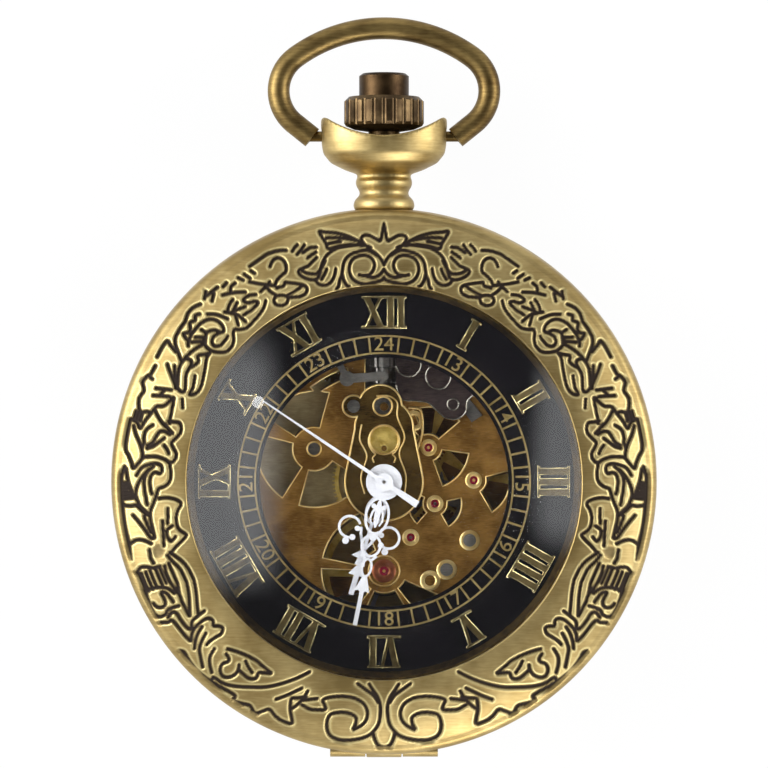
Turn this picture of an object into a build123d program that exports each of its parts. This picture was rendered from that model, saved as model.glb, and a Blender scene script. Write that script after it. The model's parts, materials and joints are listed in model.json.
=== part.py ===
from build123d import *
import math
import os

# Pocket watch lying on its back: +Z is up through the dial, +Y runs to twelve o'clock and the
# crown, +X to three o'clock. The origin is the centre of the flat of the back, at the surface
# the watch lies on. All sizes are in millimetres and all angles in degrees.

# ---------------------------------------------------------------- driving dimensions: the case
case_r = 23.5            # greatest radius of the case band
band_wall = 4.1          # case band, from its greatest radius to the bore that holds the movement
band_bottom = 2.9        # height where the back snaps on
band_top = 9.85          # top of the case band
back_wall = 0.75         # thickness of the snap-on back
back_flat_r = 14.0       # radius of the flat that the watch rests on
lid_gap = 0.15           # gap between the case band and the closed cover
lid_height = 2.9         # height of the cover's ring at its inner edge
lid_ring_width = 6.45    # width of the cover's engraved ring
lens_rise = 3.65         # rise of the magnifying lens above the ring
hinge_pin_r = 0.4
knuckle_r = 0.7
web_inset = 0.2
yoke_bottom = 7.15
yoke_top = 7.36
bow_wire_r = 0.95
crown_r = 3.45
crown_length = 2.9
button_r = 2.15
button_travel = 0.5
crown_travel = 0.8       # how far the crown pulls out to set the hands
stem_r = 0.5
running_gap = 0.05       # radial clearance of a shaft in its hole

# ---------------------------------------------------------------- driving dimensions: movement
plate_r = 13.2
plate_bottom = 5.2
plate_top = 6.8
bridge_bottom = 1.75
bridge_top = 2.55
stem_z = 6.0             # height of the winding stem's axis
dial_inner_r = 9.9
dial_thickness = 0.4
hand_thickness = 0.15
minute_hand_length = 11.75
hour_hand_length = 9.35
seconds_hand_length = 11.8
minute_hand_angle = 191.5     # clockwise from twelve, as the hands stand
hour_hand_angle = 196.4
seconds_hand_angle = 303.9
arbor_r = 0.2
pivot_r = 0.1
jewel_r = 0.55
jewel_height = 0.3
screw_head_r = 0.75
screw_r = 0.35
part_gap = 0.05          # gap between pieces that lie against each other

# ---------------------------------------------------------------- gear train
barrel_teeth = 76
centre_pinion_leaves = 10
barrel_module = 0.14
centre_teeth = 80
third_pinion_leaves = 10
centre_module = 0.0967
third_teeth = 75
sweep_pinion_leaves = 10
third_module = 0.1024
fourth_teeth = 70
escape_pinion_leaves = 7
fourth_module = 0.0915
escape_teeth = 15
escape_r = 2.4
motion_module = 0.13
cannon_leaves = 10
minute_teeth = 30
minute_pinion_leaves = 8
hour_teeth = 32
setting_teeth = 20
crown_wheel_teeth = 20
ratchet_teeth = 41
winding_leaves = 12
contrate_teeth = 17

# Places of the arbors, worked out from the tooth counts so that each pair is in mesh.


def mesh_distance(teeth_a, teeth_b, module):
    return module * (teeth_a + teeth_b) / 2


def polar(origin, radius, degrees):
    angle = math.radians(degrees)
    return (origin[0] + radius * math.cos(angle), origin[1] + radius * math.sin(angle))


def direction(start, end):
    return math.degrees(math.atan2(end[1] - start[1], end[0] - start[0]))


def distance(start, end):
    return math.hypot(end[0] - start[0], end[1] - start[1])


centre_at = (0.0, 0.0)
barrel_at = polar(centre_at, mesh_distance(barrel_teeth, centre_pinion_leaves, barrel_module), 155)
third_at = polar(centre_at, mesh_distance(centre_teeth, third_pinion_leaves, centre_module), 37.3)
fourth_at = polar(third_at, mesh_distance(third_teeth, sweep_pinion_leaves, third_module), -35.7)
escape_at = polar(
    fourth_at, mesh_distance(fourth_teeth, escape_pinion_leaves, fourth_module), 210.8)
fork_at = polar(escape_at, 3.25, 234.4)
balance_at = polar(fork_at, 3.35, 231.7)
minute_at = (0.0, mesh_distance(cannon_leaves, minute_teeth, motion_module))
setting_at = (0.0, minute_at[1] + mesh_distance(minute_teeth, setting_teeth, motion_module))
crown_wheel_at = (0.0, 7.9)
keyless_distance = distance(barrel_at, crown_wheel_at)
keyless_module = keyless_distance * 2 / (crown_wheel_teeth + ratchet_teeth)
winding_r = 1.2
winding_from = 9.0
winding_to = 10.2
contrate_mean_r = winding_r * contrate_teeth / winding_leaves
sliding_from = 7.7
sliding_to = 8.9
sliding_travel = 0.4
stem_groove_y = 11.65
lever_arm = 3.0
yoke_arm = 2.9
lever_pivot = (lever_arm, stem_groove_y + crown_travel / 2)
yoke_groove_y = 8.3
yoke_pivot = (-yoke_arm, yoke_groove_y - sliding_travel / 2)
cock_foot = (-6.9, -8.2)
click_pivot = (-10.45, 6.55)
fork_bridge_feet = [(4.4, -5.5), (-0.7, -4.75)]
fork_bridge_bottom = 3.45

# ---------------------------------------------------------------- heights worked out from these
bore_r = case_r - band_wall
ledge_bottom = 7.7
ledge_top = 8.2
ledge_r = bore_r - 1.4
dial_bottom = 7.75
dial_top = dial_bottom + dial_thickness
dial_outer_r = case_r - 7.8
numeral_height = 0.14
figure_height = 2.7
figure_gap = 0.65
crystal_thickness = 0.5
crystal_bottom = band_top - 0.4
crystal_top = crystal_bottom + crystal_thickness
crystal_r = case_r - 6.25
lid_bottom = band_top + lid_gap
lid_r = case_r - 0.3
lid_inner_r = lid_r - lid_ring_width
lid_top = lid_bottom + lid_height
lens_bottom = lid_bottom + 1.0
lens_flange_r = lid_inner_r + 0.55
lens_flange_top = lens_bottom + 0.95
lens_edge_z = lid_top - 0.05
hinge_y = -(lid_r - 0.4)
hinge_z = band_top - 0.45
knuckle_half = 4.6
lid_knuckle_half = 1.55
notch_bottom = hinge_z - 0.9
hour_hand_z = 8.45
minute_hand_z = 8.75
seconds_hand_z = 9.05
neck_from = case_r - 1.6
pendant_y = case_r + 6.25        # axis that the bow swings on
crown_from = case_r + 6.75
crown_face = crown_from + crown_length
button_face = crown_face + 1.75
stem_bore_r = 0.35
thick_stem_r = 0.75
collar_y = case_r - 2.0
latch_pivot = polar(centre_at, bore_r + 0.7, 45)
latch_leaf_r = bore_r + 0.6
latch_face_y = collar_y - 0.35


# ---------------------------------------------------------------- building blocks
def place(shape, at, height=0.0):
    return Pos(at[0], at[1], height) * shape


def disc(radius, low, high, at=(0.0, 0.0)):
    return place(extrude(Circle(radius), high - low), at, low)


def ring(outer, inner, low, high, at=(0.0, 0.0)):
    return place(extrude(Circle(outer) - Circle(inner), high - low), at, low)


def slab(low_x, high_x, low_y, high_y, low, high):
    middle = ((low_x + high_x) / 2, (low_y + high_y) / 2, (low + high) / 2)
    return Pos(*middle) * Box(high_x - low_x, high_y - low_y, high - low)


def rod_y(radius, low, high, height=stem_z, x=0.0):
    """A cylinder along Y between two values of y."""
    return Pos(x, high, height) * Rot(90, 0, 0) * Cylinder(
        radius, high - low, align=(Align.CENTER, Align.CENTER, Align.MIN))


def rod_x(radius, low, high, y, height):
    """A cylinder along X between two values of x."""
    return Pos(low, y, height) * Rot(0, 90, 0) * Cylinder(
        radius, high - low, align=(Align.CENTER, Align.CENTER, Align.MIN))


def turned(points):
    """A solid turned about Z from an outline of (radius, height) points."""
    outline = Polyline(*[(r, 0, z) for r, z in points], close=True)
    return revolve(make_face(outline), Axis.Z)


def turned_y(points, height=stem_z):
    """A solid turned about the stem's axis from an outline of (radius, y) points."""
    outline = Polyline(*[(r, y, 0) for r, y in points], close=True)
    return Pos(0, 0, height) * revolve(make_face(outline), Axis.Y)


def sector(outer, inner, from_deg, to_deg, at=(0.0, 0.0)):
    """A flat ring sector, counted anticlockwise from +X."""
    sweep = to_deg - from_deg
    outer_arc = CenterArc((0, 0), outer, from_deg, sweep)
    inner_arc = CenterArc((0, 0), inner, from_deg, sweep)
    edges = [outer_arc, inner_arc, Line(outer_arc @ 0, inner_arc @ 0), Line(outer_arc @ 1, inner_arc @ 1)]
    return Pos(at[0], at[1]) * make_face(edges)


def bar(start, end, width):
    """A flat bar with round ends between two points."""
    length = distance(start, end)
    middle = ((start[0] + end[0]) / 2, (start[1] + end[1]) / 2)
    slot = SlotCenterToCenter(length, width)
    return Pos(*middle) * Rot(0, 0, direction(start, end)) * slot


def prism(sketch, low, high):
    return Pos(0, 0, low) * extrude(sketch, high - low)


# ---------------------------------------------------------------- gears
def pitch_r(teeth, module):
    return teeth * module / 2


def mesh_phase(at_a, teeth_a, phase_a, at_b, teeth_b):
    """The angle of a tooth of gear b that leaves it in mesh with gear a."""
    line = direction(at_a, at_b)
    share_a = (line - phase_a) * teeth_a / 360
    share_b = 0.5 - share_a
    return line + 180 - share_b * 360 / teeth_b


def gear_face(teeth, module, phase, pinion=False):
    """The outline of a gear with straight-sided teeth, thin enough to leave backlash."""
    radius = pitch_r(teeth, module)
    rise, depth, root_share, tip_share = (0.6, 1.25, 0.17, 0.11) if pinion else (0.9, 1.15, 0.25, 0.07)
    pitch = 360 / teeth
    points = []
    for tooth in range(teeth):
        middle = phase + tooth * pitch
        points.append(polar((0, 0), radius - depth * module, middle - root_share * pitch))
        points.append(polar((0, 0), radius + rise * module, middle - tip_share * pitch))
        points.append(polar((0, 0), radius + rise * module, middle + tip_share * pitch))
        points.append(polar((0, 0), radius - depth * module, middle + root_share * pitch))
    return make_face(Polyline(*points, close=True))


def wheel(teeth, module, phase, low, high, at, bore, spokes=0, hub=0.0, rim=0.0):
    """A toothed wheel, crossed out between its spokes where it has any."""
    face = gear_face(teeth, module, phase) - Circle(bore)
    if spokes:
        window_outer = pitch_r(teeth, module) - 1.15 * module - rim
        gap = 360 / spokes
        for spoke in range(spokes):
            from_deg = phase + spoke * gap + gap * 0.13
            to_deg = phase + (spoke + 1) * gap - gap * 0.13
            face -= sector(window_outer, hub, from_deg, to_deg)
    return place(extrude(face, high - low), at, low)


def leaves(count, module, phase, low, high, at, bore=0.0):
    face = gear_face(count, module, phase, pinion=True)
    if bore:
        face -= Circle(bore)
    return place(extrude(face, high - low), at, low)


def arbor(at, low, high, lower_pivot, upper_pivot):
    """A shaft with a thin pivot at each end."""
    shaft = disc(arbor_r, low, high, at)
    shaft += disc(pivot_r, lower_pivot, low, at)
    shaft += disc(pivot_r, high, upper_pivot, at)
    return shaft


barrel_phase = 0.0
centre_pinion_phase = mesh_phase(
    barrel_at, barrel_teeth, barrel_phase, centre_at, centre_pinion_leaves)
third_pinion_phase = mesh_phase(centre_at, centre_teeth, 0.0, third_at, third_pinion_leaves)
sweep_phase = mesh_phase(third_at, third_teeth, 0.0, centre_at, sweep_pinion_leaves)
fourth_pinion_phase = mesh_phase(third_at, third_teeth, 0.0, fourth_at, sweep_pinion_leaves)
escape_pinion_phase = mesh_phase(fourth_at, fourth_teeth, 0.0, escape_at, escape_pinion_leaves)
minute_phase = mesh_phase(centre_at, cannon_leaves, 0.0, minute_at, minute_teeth)
hour_phase = mesh_phase(minute_at, minute_pinion_leaves, 0.0, centre_at, hour_teeth)
setting_phase = mesh_phase(minute_at, minute_teeth, minute_phase, setting_at, setting_teeth)
ratchet_phase = mesh_phase(crown_wheel_at, crown_wheel_teeth, 0.0, barrel_at, ratchet_teeth)


# ---------------------------------------------------------------- case
def band_outer():
    """The full turned body of the case band, before anything is cut from it."""
    middle = (band_bottom + band_top) / 2
    flank = ThreePointArc((case_r - 0.75, 0, band_bottom), (case_r, 0, middle), (case_r - 0.55, 0, band_top))
    outline = [
        flank,
        Line(flank @ 1, (0, 0, band_top)),
        Line((0, 0, band_top), (0, 0, band_bottom)),
        Line((0, 0, band_bottom), flank @ 0),
    ]
    return revolve(make_face(outline), Axis.Z)


def make_case_band():
    band = band_outer()
    band -= disc(bore_r, band_bottom - 1, ledge_bottom)
    band -= disc(ledge_r, band_bottom, ledge_top + 1)
    band -= disc(bore_r, ledge_top, band_top + 1)
    band -= rod_y(1.45, bore_r - 1, case_r + 1)
    band -= rod_y(2.0, neck_from, case_r + 1)
    groove = sector(bore_r + 1.5, bore_r - 0.5, 38, 96)
    band -= prism(groove, ledge_top + 0.1, band_top + 1)
    band -= slab(-1.9, 1.9, bore_r - 0.5, latch_face_y + 0.25, stem_z + 0.6, band_top + 1)
    spring_groove = sector(bore_r + 1.2, bore_r - 0.5, 246, 294)
    band -= prism(spring_groove, ledge_top + 0.1, band_top + 1)
    notch_half = knuckle_half + 0.1
    band -= slab(-notch_half, notch_half, -case_r - 1, hinge_y + 1.0, notch_bottom, band_top + 1)
    for side in (-1, 1):
        near = side * (lid_knuckle_half + part_gap)
        far = side * knuckle_half
        low, high = min(near, far), max(near, far)
        band += rod_x(knuckle_r, low, high, hinge_y, hinge_z)
        web_from = hinge_y - knuckle_r + web_inset
        band += slab(low, high, web_from, hinge_y + knuckle_r, notch_bottom - 0.2, hinge_z)
    band -= rod_x(hinge_pin_r, -knuckle_half - 1, knuckle_half + 1, hinge_y, hinge_z)
    for at in case_screw_places():
        band -= disc(screw_r + 0.02, ledge_bottom - 0.5, ledge_top - 0.1, at)
    return band


def case_screw_places():
    return [polar(centre_at, bore_r - 0.7, degrees) for degrees in (20, 200)]


def make_case_back():
    """The snap-on back: a shallow dish with a lip that grips inside the band."""
    rim_r = case_r - 0.75
    slope_r = (back_flat_r + rim_r) / 2 + 0.6
    slope = ThreePointArc((back_flat_r, 0, 0), (slope_r, 0, 0.95), (rim_r, 0, band_bottom))
    inner_r = bore_r - 0.75
    inside = ThreePointArc(
        (inner_r, 0, band_bottom - 0.3),
        ((back_flat_r + inner_r) / 2, 0, 0.95 + back_wall * 0.45),
        (back_flat_r - 0.4, 0, back_wall))
    outline = [
        Line((0, 0, 0), (back_flat_r, 0, 0)),
        slope,
        Line((rim_r, 0, band_bottom), (bore_r - part_gap, 0, band_bottom)),
        Line((bore_r - part_gap, 0, band_bottom), (bore_r - part_gap, 0, band_bottom + 0.8)),
        Line((bore_r - part_gap, 0, band_bottom + 0.8), (inner_r, 0, band_bottom + 0.8)),
        Line((inner_r, 0, band_bottom + 0.8), (inner_r, 0, band_bottom - 0.3)),
        inside,
        Line((back_flat_r - 0.4, 0, back_wall), (0, 0, back_wall)),
        Line((0, 0, back_wall), (0, 0, 0)),
    ]
    return revolve(make_face(outline), Axis.Z)


def make_pendant():
    """The neck and the eared head that carry the crown and the bow."""
    ear_r = 5.45
    head_low = pendant_y - 3.25
    head = turned_y([
        (0, head_low), (2.4, head_low), (3.4, head_low + 0.35), (4.6, head_low + 0.95),
        (5.25, head_low + 1.75), (ear_r, pendant_y - 0.4), (ear_r, pendant_y + 1.6), (0, pendant_y + 1.6)])
    head &= slab(-6, 6, head_low - 1, pendant_y + 3, stem_z - 4.0, stem_z + 4.0)
    scoop_r = 8.4
    scoop_y = pendant_y - 0.05 + scoop_r
    head -= Pos(0, scoop_y, 0) * Cylinder(scoop_r, 30)
    neck = rod_y(2.1, case_r - 1.5, head_low + 0.5)
    for collar_centre, collar_r in ((case_r + 0.3, 2.65), (case_r + 2.25, 2.45)):
        neck += Pos(0, collar_centre, stem_z) * Rot(90, 0, 0) * Torus(collar_r - 0.85, 0.85)
    pendant = head + neck
    pendant -= band_outer()
    pendant += rod_y(1.98, neck_from + 0.02, case_r)
    pendant -= rod_y(1.45, neck_from - 1, pendant_y + 3)
    pendant -= rod_x(0.5, -7, 7, pendant_y, stem_z)
    return pendant


def make_hinge_pin():
    return rod_x(hinge_pin_r, -knuckle_half, knuckle_half, hinge_y, hinge_z)


def make_lift_spring():
    """The leaf beside the hinge that throws the cover open."""
    leaf = prism(sector(bore_r + 0.75, bore_r + 0.35, 252, 289), ledge_top + 0.2, band_top - 0.25)
    foot = prism(sector(bore_r + 1.05, bore_r + 0.35, 289, 292.5), ledge_top + 0.12, band_top - 0.25)
    return leaf + foot


def make_crystal_bezel():
    inner_low = dial_outer_r - 0.3
    return turned([
        (inner_low, ledge_top + part_gap), (bore_r - part_gap, ledge_top + part_gap),
        (bore_r - part_gap, band_top), (crystal_r + 0.03, band_top),
        (crystal_r + 0.03, crystal_bottom), (crystal_r - 0.9, crystal_bottom)])


def make_inner_crystal():
    return disc(crystal_r, crystal_bottom, crystal_top - 0.02)


# ---------------------------------------------------------------- hinged cover
def cover_profile():
    """The cover ring's outline: a gently domed top, hollow beneath."""
    border_r = lid_r - 0.8
    dome = ThreePointArc(
        (lid_inner_r, 0, lid_top), ((lid_inner_r + border_r) / 2, 0, lid_top - 0.55),
        (border_r, 0, lid_top - 1.75))
    edge = ThreePointArc(
        (border_r, 0, lid_top - 1.75), (lid_r - 0.15, 0, lid_bottom + 0.75), (lid_r, 0, lid_bottom))
    corners = [
        (lid_r, 0, lid_bottom), (lid_r - 1.3, 0, lid_bottom), (lid_r - 1.3, 0, lid_bottom + 0.45),
        (lens_flange_r + 1.0, 0, lid_top - 1.2), (lens_flange_r + 1.0, 0, lid_bottom + 0.3),
        (lens_flange_r + 0.05, 0, lid_bottom + 0.3), (lens_flange_r + 0.05, 0, lens_flange_top),
        (lid_inner_r, 0, lens_flange_top), (lid_inner_r, 0, lid_top)]
    return make_face([dome, edge, Polyline(*corners)])


def make_cover_ring():
    ring_body = revolve(cover_profile(), Axis.Z)
    lip = slab(-1.5, 1.5, latch_face_y - 0.15, lid_r - 1.2, lid_bottom + 0.15, lid_bottom + 0.35)
    ring_body += lip
    relief_r = knuckle_r + 0.1
    for side in (-1, 1):
        low, high = sorted((side * lid_knuckle_half, side * (knuckle_half + 0.1)))
        ring_body -= rod_x(relief_r, low, high, hinge_y, hinge_z)
    ring_body += rod_x(knuckle_r, -lid_knuckle_half, lid_knuckle_half, hinge_y, hinge_z)
    ring_body += slab(
        -lid_knuckle_half, lid_knuckle_half, hinge_y - 0.25, hinge_y + 0.6, hinge_z, lid_bottom + 0.3)
    ring_body -= rod_x(
        hinge_pin_r + running_gap, -knuckle_half, knuckle_half, hinge_y, hinge_z)
    return ring_body


def make_magnifier_lens():
    edge_r = lid_inner_r - 0.05
    dome_r = (edge_r ** 2 + lens_rise ** 2) / (2 * lens_rise)
    apex = lens_edge_z + lens_rise
    half = edge_r / 2
    half_z = apex - dome_r + math.sqrt(dome_r ** 2 - half ** 2)
    dome = ThreePointArc((edge_r, 0, lens_edge_z), (half, 0, half_z), (0, 0, apex))
    body = Polyline(
        (0, 0, apex), (0, 0, lens_bottom), (lens_flange_r, 0, lens_bottom),
        (lens_flange_r, 0, lens_flange_top - 0.03), (edge_r, 0, lens_flange_top - 0.03),
        (edge_r, 0, lens_edge_z))
    return revolve(make_face([dome, body]), Axis.Z)


def make_lens_retainer():
    return ring(lens_flange_r, lens_flange_r - 1.0, lens_bottom - 0.6, lens_bottom - 0.02)


def make_cover_latch():
    """A spring leaf along the band, with a hook for the cover and a tail for the button."""
    face = sector(latch_leaf_r + 0.4, latch_leaf_r, 45.5, 90)
    leaf = prism(face, ledge_top + 0.2, band_top - 0.15)
    foot = disc(0.55, ledge_top + 0.2, band_top - 0.15, latch_pivot)
    tail = slab(-0.9, 0.9, latch_face_y - 0.45, latch_face_y, stem_z + 0.75, band_top - 0.15)
    link = slab(-0.9, 0.9, latch_leaf_r, latch_face_y - 0.1, ledge_top + 0.2, band_top - 0.15)
    column = slab(-0.9, 0.9, latch_face_y - 0.8, latch_face_y - 0.4, ledge_top + 0.2, lid_bottom + 0.65)
    head = slab(-0.9, 0.9, latch_face_y - 0.8, latch_face_y - 0.2, lid_bottom + 0.45, lid_bottom + 0.65)
    return leaf + foot + tail + link + column + head


# ---------------------------------------------------------------- bow, crown and button
def make_bow():
    """A stirrup of round wire whose two pins seat in the pendant's ears."""
    side_r = 3.6
    side_x = 5.5
    side_y = pendant_y + 3.95
    top_y = side_y - 7.5
    top_r = side_r + math.hypot(side_x, side_y - top_y)
    join = math.degrees(math.atan2(side_y - top_y, side_x))
    right = CenterArc((side_x, side_y), side_r, -80, 80 + join)
    top = CenterArc((0, top_y), top_r, join, 180 - 2 * join)
    left = CenterArc((-side_x, side_y), side_r, 180 - join, 80 + join)
    path = Wire([right.edge(), top.edge(), left.edge()])
    start = path @ 0
    section = Plane(origin=start, z_dir=path % 0) * Circle(bow_wire_r)
    wire = sweep(section, path=path)
    bow = Pos(0, 0, stem_z) * wire
    for side in (-1, 1):
        eye = Pos(side * 6.55, pendant_y, stem_z) * Sphere(bow_wire_r + 0.05)
        low, high = sorted((side * 4.75, side * 6.5))
        bow += eye
        bow += rod_x(0.5 - running_gap, low, high, pendant_y, stem_z)
    return bow


def make_crown():
    """The knurled crown with the neck that turns in the pendant."""
    flutes = 24
    body = turned_y([
        (0, crown_from - 0.1), (1.35, crown_from - 0.1), (2.6, crown_from + 0.1),
        (crown_r - 0.15, crown_from + 0.4), (crown_r, crown_from + 0.65), (crown_r, crown_face - 0.4),
        (crown_r - 0.4, crown_face), (0, crown_face)])
    for flute in range(flutes):
        groove = Pos(crown_r + 0.12, crown_face, 0) * Rot(90, 0, 0) * Cylinder(
            0.27, crown_length + 1, align=(Align.CENTER, Align.CENTER, Align.MIN))
        body -= Pos(0, 0, stem_z) * Rot(0, flute * 360 / flutes, 0) * groove
    body += rod_y(1.35, pendant_y - 2.5, crown_from + 0.2)
    body -= rod_y(thick_stem_r + 0.01, pendant_y - 3, crown_from + 0.4)
    body -= rod_y(stem_bore_r, crown_from, crown_face)
    body -= rod_y(button_r + running_gap, crown_from + 1.0, crown_face + 1)
    return body


def make_cover_button():
    """The push button with its rod, cross pin and the collar that moves the latch."""
    base = crown_from + 1.0 + button_travel + 0.1
    cap = turned_y([
        (0, base), (button_r, base), (button_r, button_face + 0.05), (button_r - 0.3, button_face + 0.28),
        (0, button_face + 0.4)])
    recess_depth = 1.4
    cap -= rod_y(1.6, base - 1, base + recess_depth)
    rod = rod_y(0.3, collar_y - 0.25, base + recess_depth + 0.2)
    cross_pin = rod_x(0.2, -1.0, 1.0, collar_y, stem_z)
    collar = rod_y(1.35, collar_y - 0.3, collar_y + 0.3)
    collar -= rod_y(thick_stem_r + running_gap, collar_y - 1, collar_y + 1)
    return cap + rod + cross_pin + collar


def make_button_spring():
    """A short coil between the crown's floor and the recess in the button."""
    coil_r = 1.2
    wire_r = 0.1
    floor = crown_from + 1.0
    helix = Helix(pitch=0.36, height=1.26, radius=coil_r)
    section = Plane(origin=helix @ 0, z_dir=helix % 0) * Circle(wire_r)
    coil = sweep(section, path=helix)
    return Pos(0, floor + 0.2 + 1.26, stem_z) * Rot(90, 0, 0) * coil


def make_winding_stem():
    stem = rod_y(stem_r - 0.15, 6.3, 7.3)
    stem += rod_y(stem_r, 7.2, bore_r + 0.2)
    groove = rod_y(stem_r + 0.5, stem_groove_y - 0.3, stem_groove_y + 0.3)
    stem -= groove - rod_y(0.28, stem_groove_y - 1, stem_groove_y + 1)
    stem += rod_y(thick_stem_r, bore_r + 0.2, crown_from + 0.4)
    stem -= rod_y(stem_bore_r, bore_r + 0.6, crown_from + 1)
    slot_low = collar_y - button_travel - 0.25
    stem -= slab(-1.2, 1.2, slot_low, collar_y + 0.25, stem_z - 0.24, stem_z + 0.24)
    return stem


# ---------------------------------------------------------------- movement frame
def jewel_places():
    return [third_at, fourth_at, escape_at, fork_at, balance_at]


def barrel_pillars():
    return [(-11.3, -1.5), (-7.2, 9.3), (-5.1, -4.2)]


def train_pillars():
    return [(10.9, 3.3), (8.3, -5.8), (5.4, 8.3)]



def plate_windows():
    """The openings that let the train be seen through the plate."""
    windows = []
    for from_deg in (75, 165, 255):
        windows.append(sector(4.55, 1.7, from_deg, from_deg + 72, barrel_at))
    for from_deg in (40, 130):
        windows.append(sector(3.2, 1.05, from_deg, from_deg + 72, third_at))
    windows.append(sector(3.2, 1.05, -70, -8, third_at) & Circle(20))
    windows.append(sector(2.1, 0.95, 150, 228, escape_at))
    windows.append(sector(2.1, 0.95, 300, 372, escape_at))
    windows.append(sector(2.9, 1.0, -60, 15, fourth_at))
    for from_deg in (112, 178, 244):
        windows.append(sector(4.9, 1.75, from_deg, from_deg + 56, balance_at))
    windows.append(sector(4.9, 1.75, 308, 336, balance_at))
    windows.append(sector(9.4, 7.6, 52, 70))
    windows.append(sector(9.4, 8.6, 108, 128))
    return windows


def make_main_plate():
    face = Circle(plate_r)
    for window in plate_windows():
        face -= window
    face -= Pos(0, (7.0 + winding_to + 0.15) / 2) * Rectangle(3.0, winding_to + 0.15 - 7.0)
    face -= Circle(0.42 + running_gap)
    face -= Pos(*barrel_at) * Circle(0.5 + running_gap)
    for at in jewel_places():
        face -= Pos(*at) * Circle(pivot_r + 0.08)
    plate = prism(face, plate_bottom, plate_top)
    for at in jewel_places():
        plate -= disc(jewel_r, plate_top - jewel_height, plate_top + 1, at)
    for at in barrel_pillars() + train_pillars() + [cock_foot] + fork_bridge_feet:
        plate -= disc(screw_r + 0.02, plate_bottom - 1, plate_top - 0.5, at)
    plate -= rod_y(stem_r + running_gap, winding_to, plate_r + 1)
    plate -= rod_y(stem_r - 0.15 + running_gap, 6.1, 7.2)
    plate -= slab(-0.5, 0.5, stem_groove_y - 0.35, stem_groove_y + crown_travel + 0.35, stem_z, plate_top + 1)
    for at, post_r, top in ((minute_at, 0.2, 7.35), (setting_at, 0.3, 7.15)):
        plate += disc(post_r, plate_top, top, at)
    for at in (lever_pivot, yoke_pivot):
        plate -= disc(0.25, plate_top - 0.8, plate_top + 1, at)
    for at in dial_screw_places():
        plate -= disc(0.3, plate_top - 0.8, plate_top + 1, at)
    return plate


def pierced(sketch, low, high, places):
    """A bridge with a jewel seat and pivot hole at each place."""
    bridge = prism(sketch, low, high)
    for at in places:
        bridge -= disc(pivot_r + 0.08, low - 1, high + 1, at)
        bridge -= disc(jewel_r, low - 1, low + jewel_height, at)
    return bridge


def stood_on(bridge, feet, foot_r, low, head_low):
    """Adds the pillars that stand the bridge off the plate, and their screw holes."""
    for at in feet:
        bridge += disc(foot_r, low, plate_bottom, at)
    for at in feet:
        bridge -= disc(screw_r + 0.02, head_low - 1, plate_bottom + 1, at)
    return bridge


def make_barrel_bridge():
    outline = make_face(Polyline(
        (1.9, 13.5), (1.9, 3.5), (-1.3, 1.5), (-1.95, -0.6), (-1.95, -2.2), (-4.2, -5.3), (-13.5, -5.3),
        (-13.5, 13.5), close=True))
    face = outline & Circle(plate_r - 0.3)
    face -= Pos(*balance_at) * Circle(5.0)
    face -= Pos(*barrel_at) * Circle(0.6 + running_gap)
    face -= Pos(*crown_wheel_at) * Circle(0.8 + running_gap)
    face -= Pos(*click_pivot) * Circle(0.22 + running_gap)
    bridge = prism(face, bridge_bottom, bridge_top)
    return stood_on(bridge, barrel_pillars(), 0.8, bridge_bottom, bridge_bottom)


def make_train_bridge():
    outline = make_face(Polyline(
        (2.2, 13.5), (2.2, 3.2), (-1.0, 1.2), (-1.6, -0.6), (-1.6, -2.4), (0, -3.2), (0, -13.5),
        (13.5, -13.5), (13.5, 13.5), close=True))
    face = outline & Circle(plate_r - 0.3)
    face -= Pos(*balance_at) * Circle(5.0)
    bridge = pierced(face, bridge_bottom, bridge_top, [centre_at, third_at, fourth_at, escape_at])
    return stood_on(bridge, train_pillars(), 0.9, bridge_bottom, bridge_bottom)


def make_balance_cock():
    low, high = 1.3, 2.1
    face = bar(cock_foot, balance_at, 2.2) + Pos(*balance_at) * Circle(1.5)
    face += Pos(*cock_foot) * Circle(1.5)
    face += bar(balance_at, polar(balance_at, 2.15, 130), 0.6)
    cock = pierced(face, low, high, [balance_at])
    return stood_on(cock, [cock_foot], 1.4, low, low)


def make_pallet_bridge():
    low, high = fork_bridge_bottom, fork_bridge_bottom + 0.35
    face = bar(fork_bridge_feet[0], fork_at, 1.0) + bar(fork_at, fork_bridge_feet[1], 1.0)
    bridge = prism(face, low, high)
    bridge -= disc(pivot_r + 0.03, low - 1, high + 1, fork_at)
    return stood_on(bridge, fork_bridge_feet, 0.5, low, low)


def motion_bridge_face():
    """The pear-shaped keeper over the motion work, with its three round windows."""
    body = Circle(3.05) + Pos(0, 4.2) * Circle(2.3) + Pos(-0.3, 5.95) * Circle(1.7)
    body += Pos(-2.4, 5.95) * Circle(0.85) + bar((-2.4, 5.95), (0, 5.95), 1.2)
    body += make_face(Polyline((-3.0, 0.6), (-2.2, 4.6), (2.2, 4.6), (3.0, 0.6), close=True))
    body -= Circle(0.9)
    body -= Pos(0, 3.3) * Circle(1.15)
    body -= Pos(-0.1, 5.95) * Circle(0.75)
    return body


def make_motion_bridge():
    bridge = prism(motion_bridge_face(), 7.4, 7.65)
    bridge += disc(0.6, plate_top, 7.4, (-2.4, 5.95))
    bridge -= disc(0.3, plate_top - 1, 8, (-2.4, 5.95))
    return bridge


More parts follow.
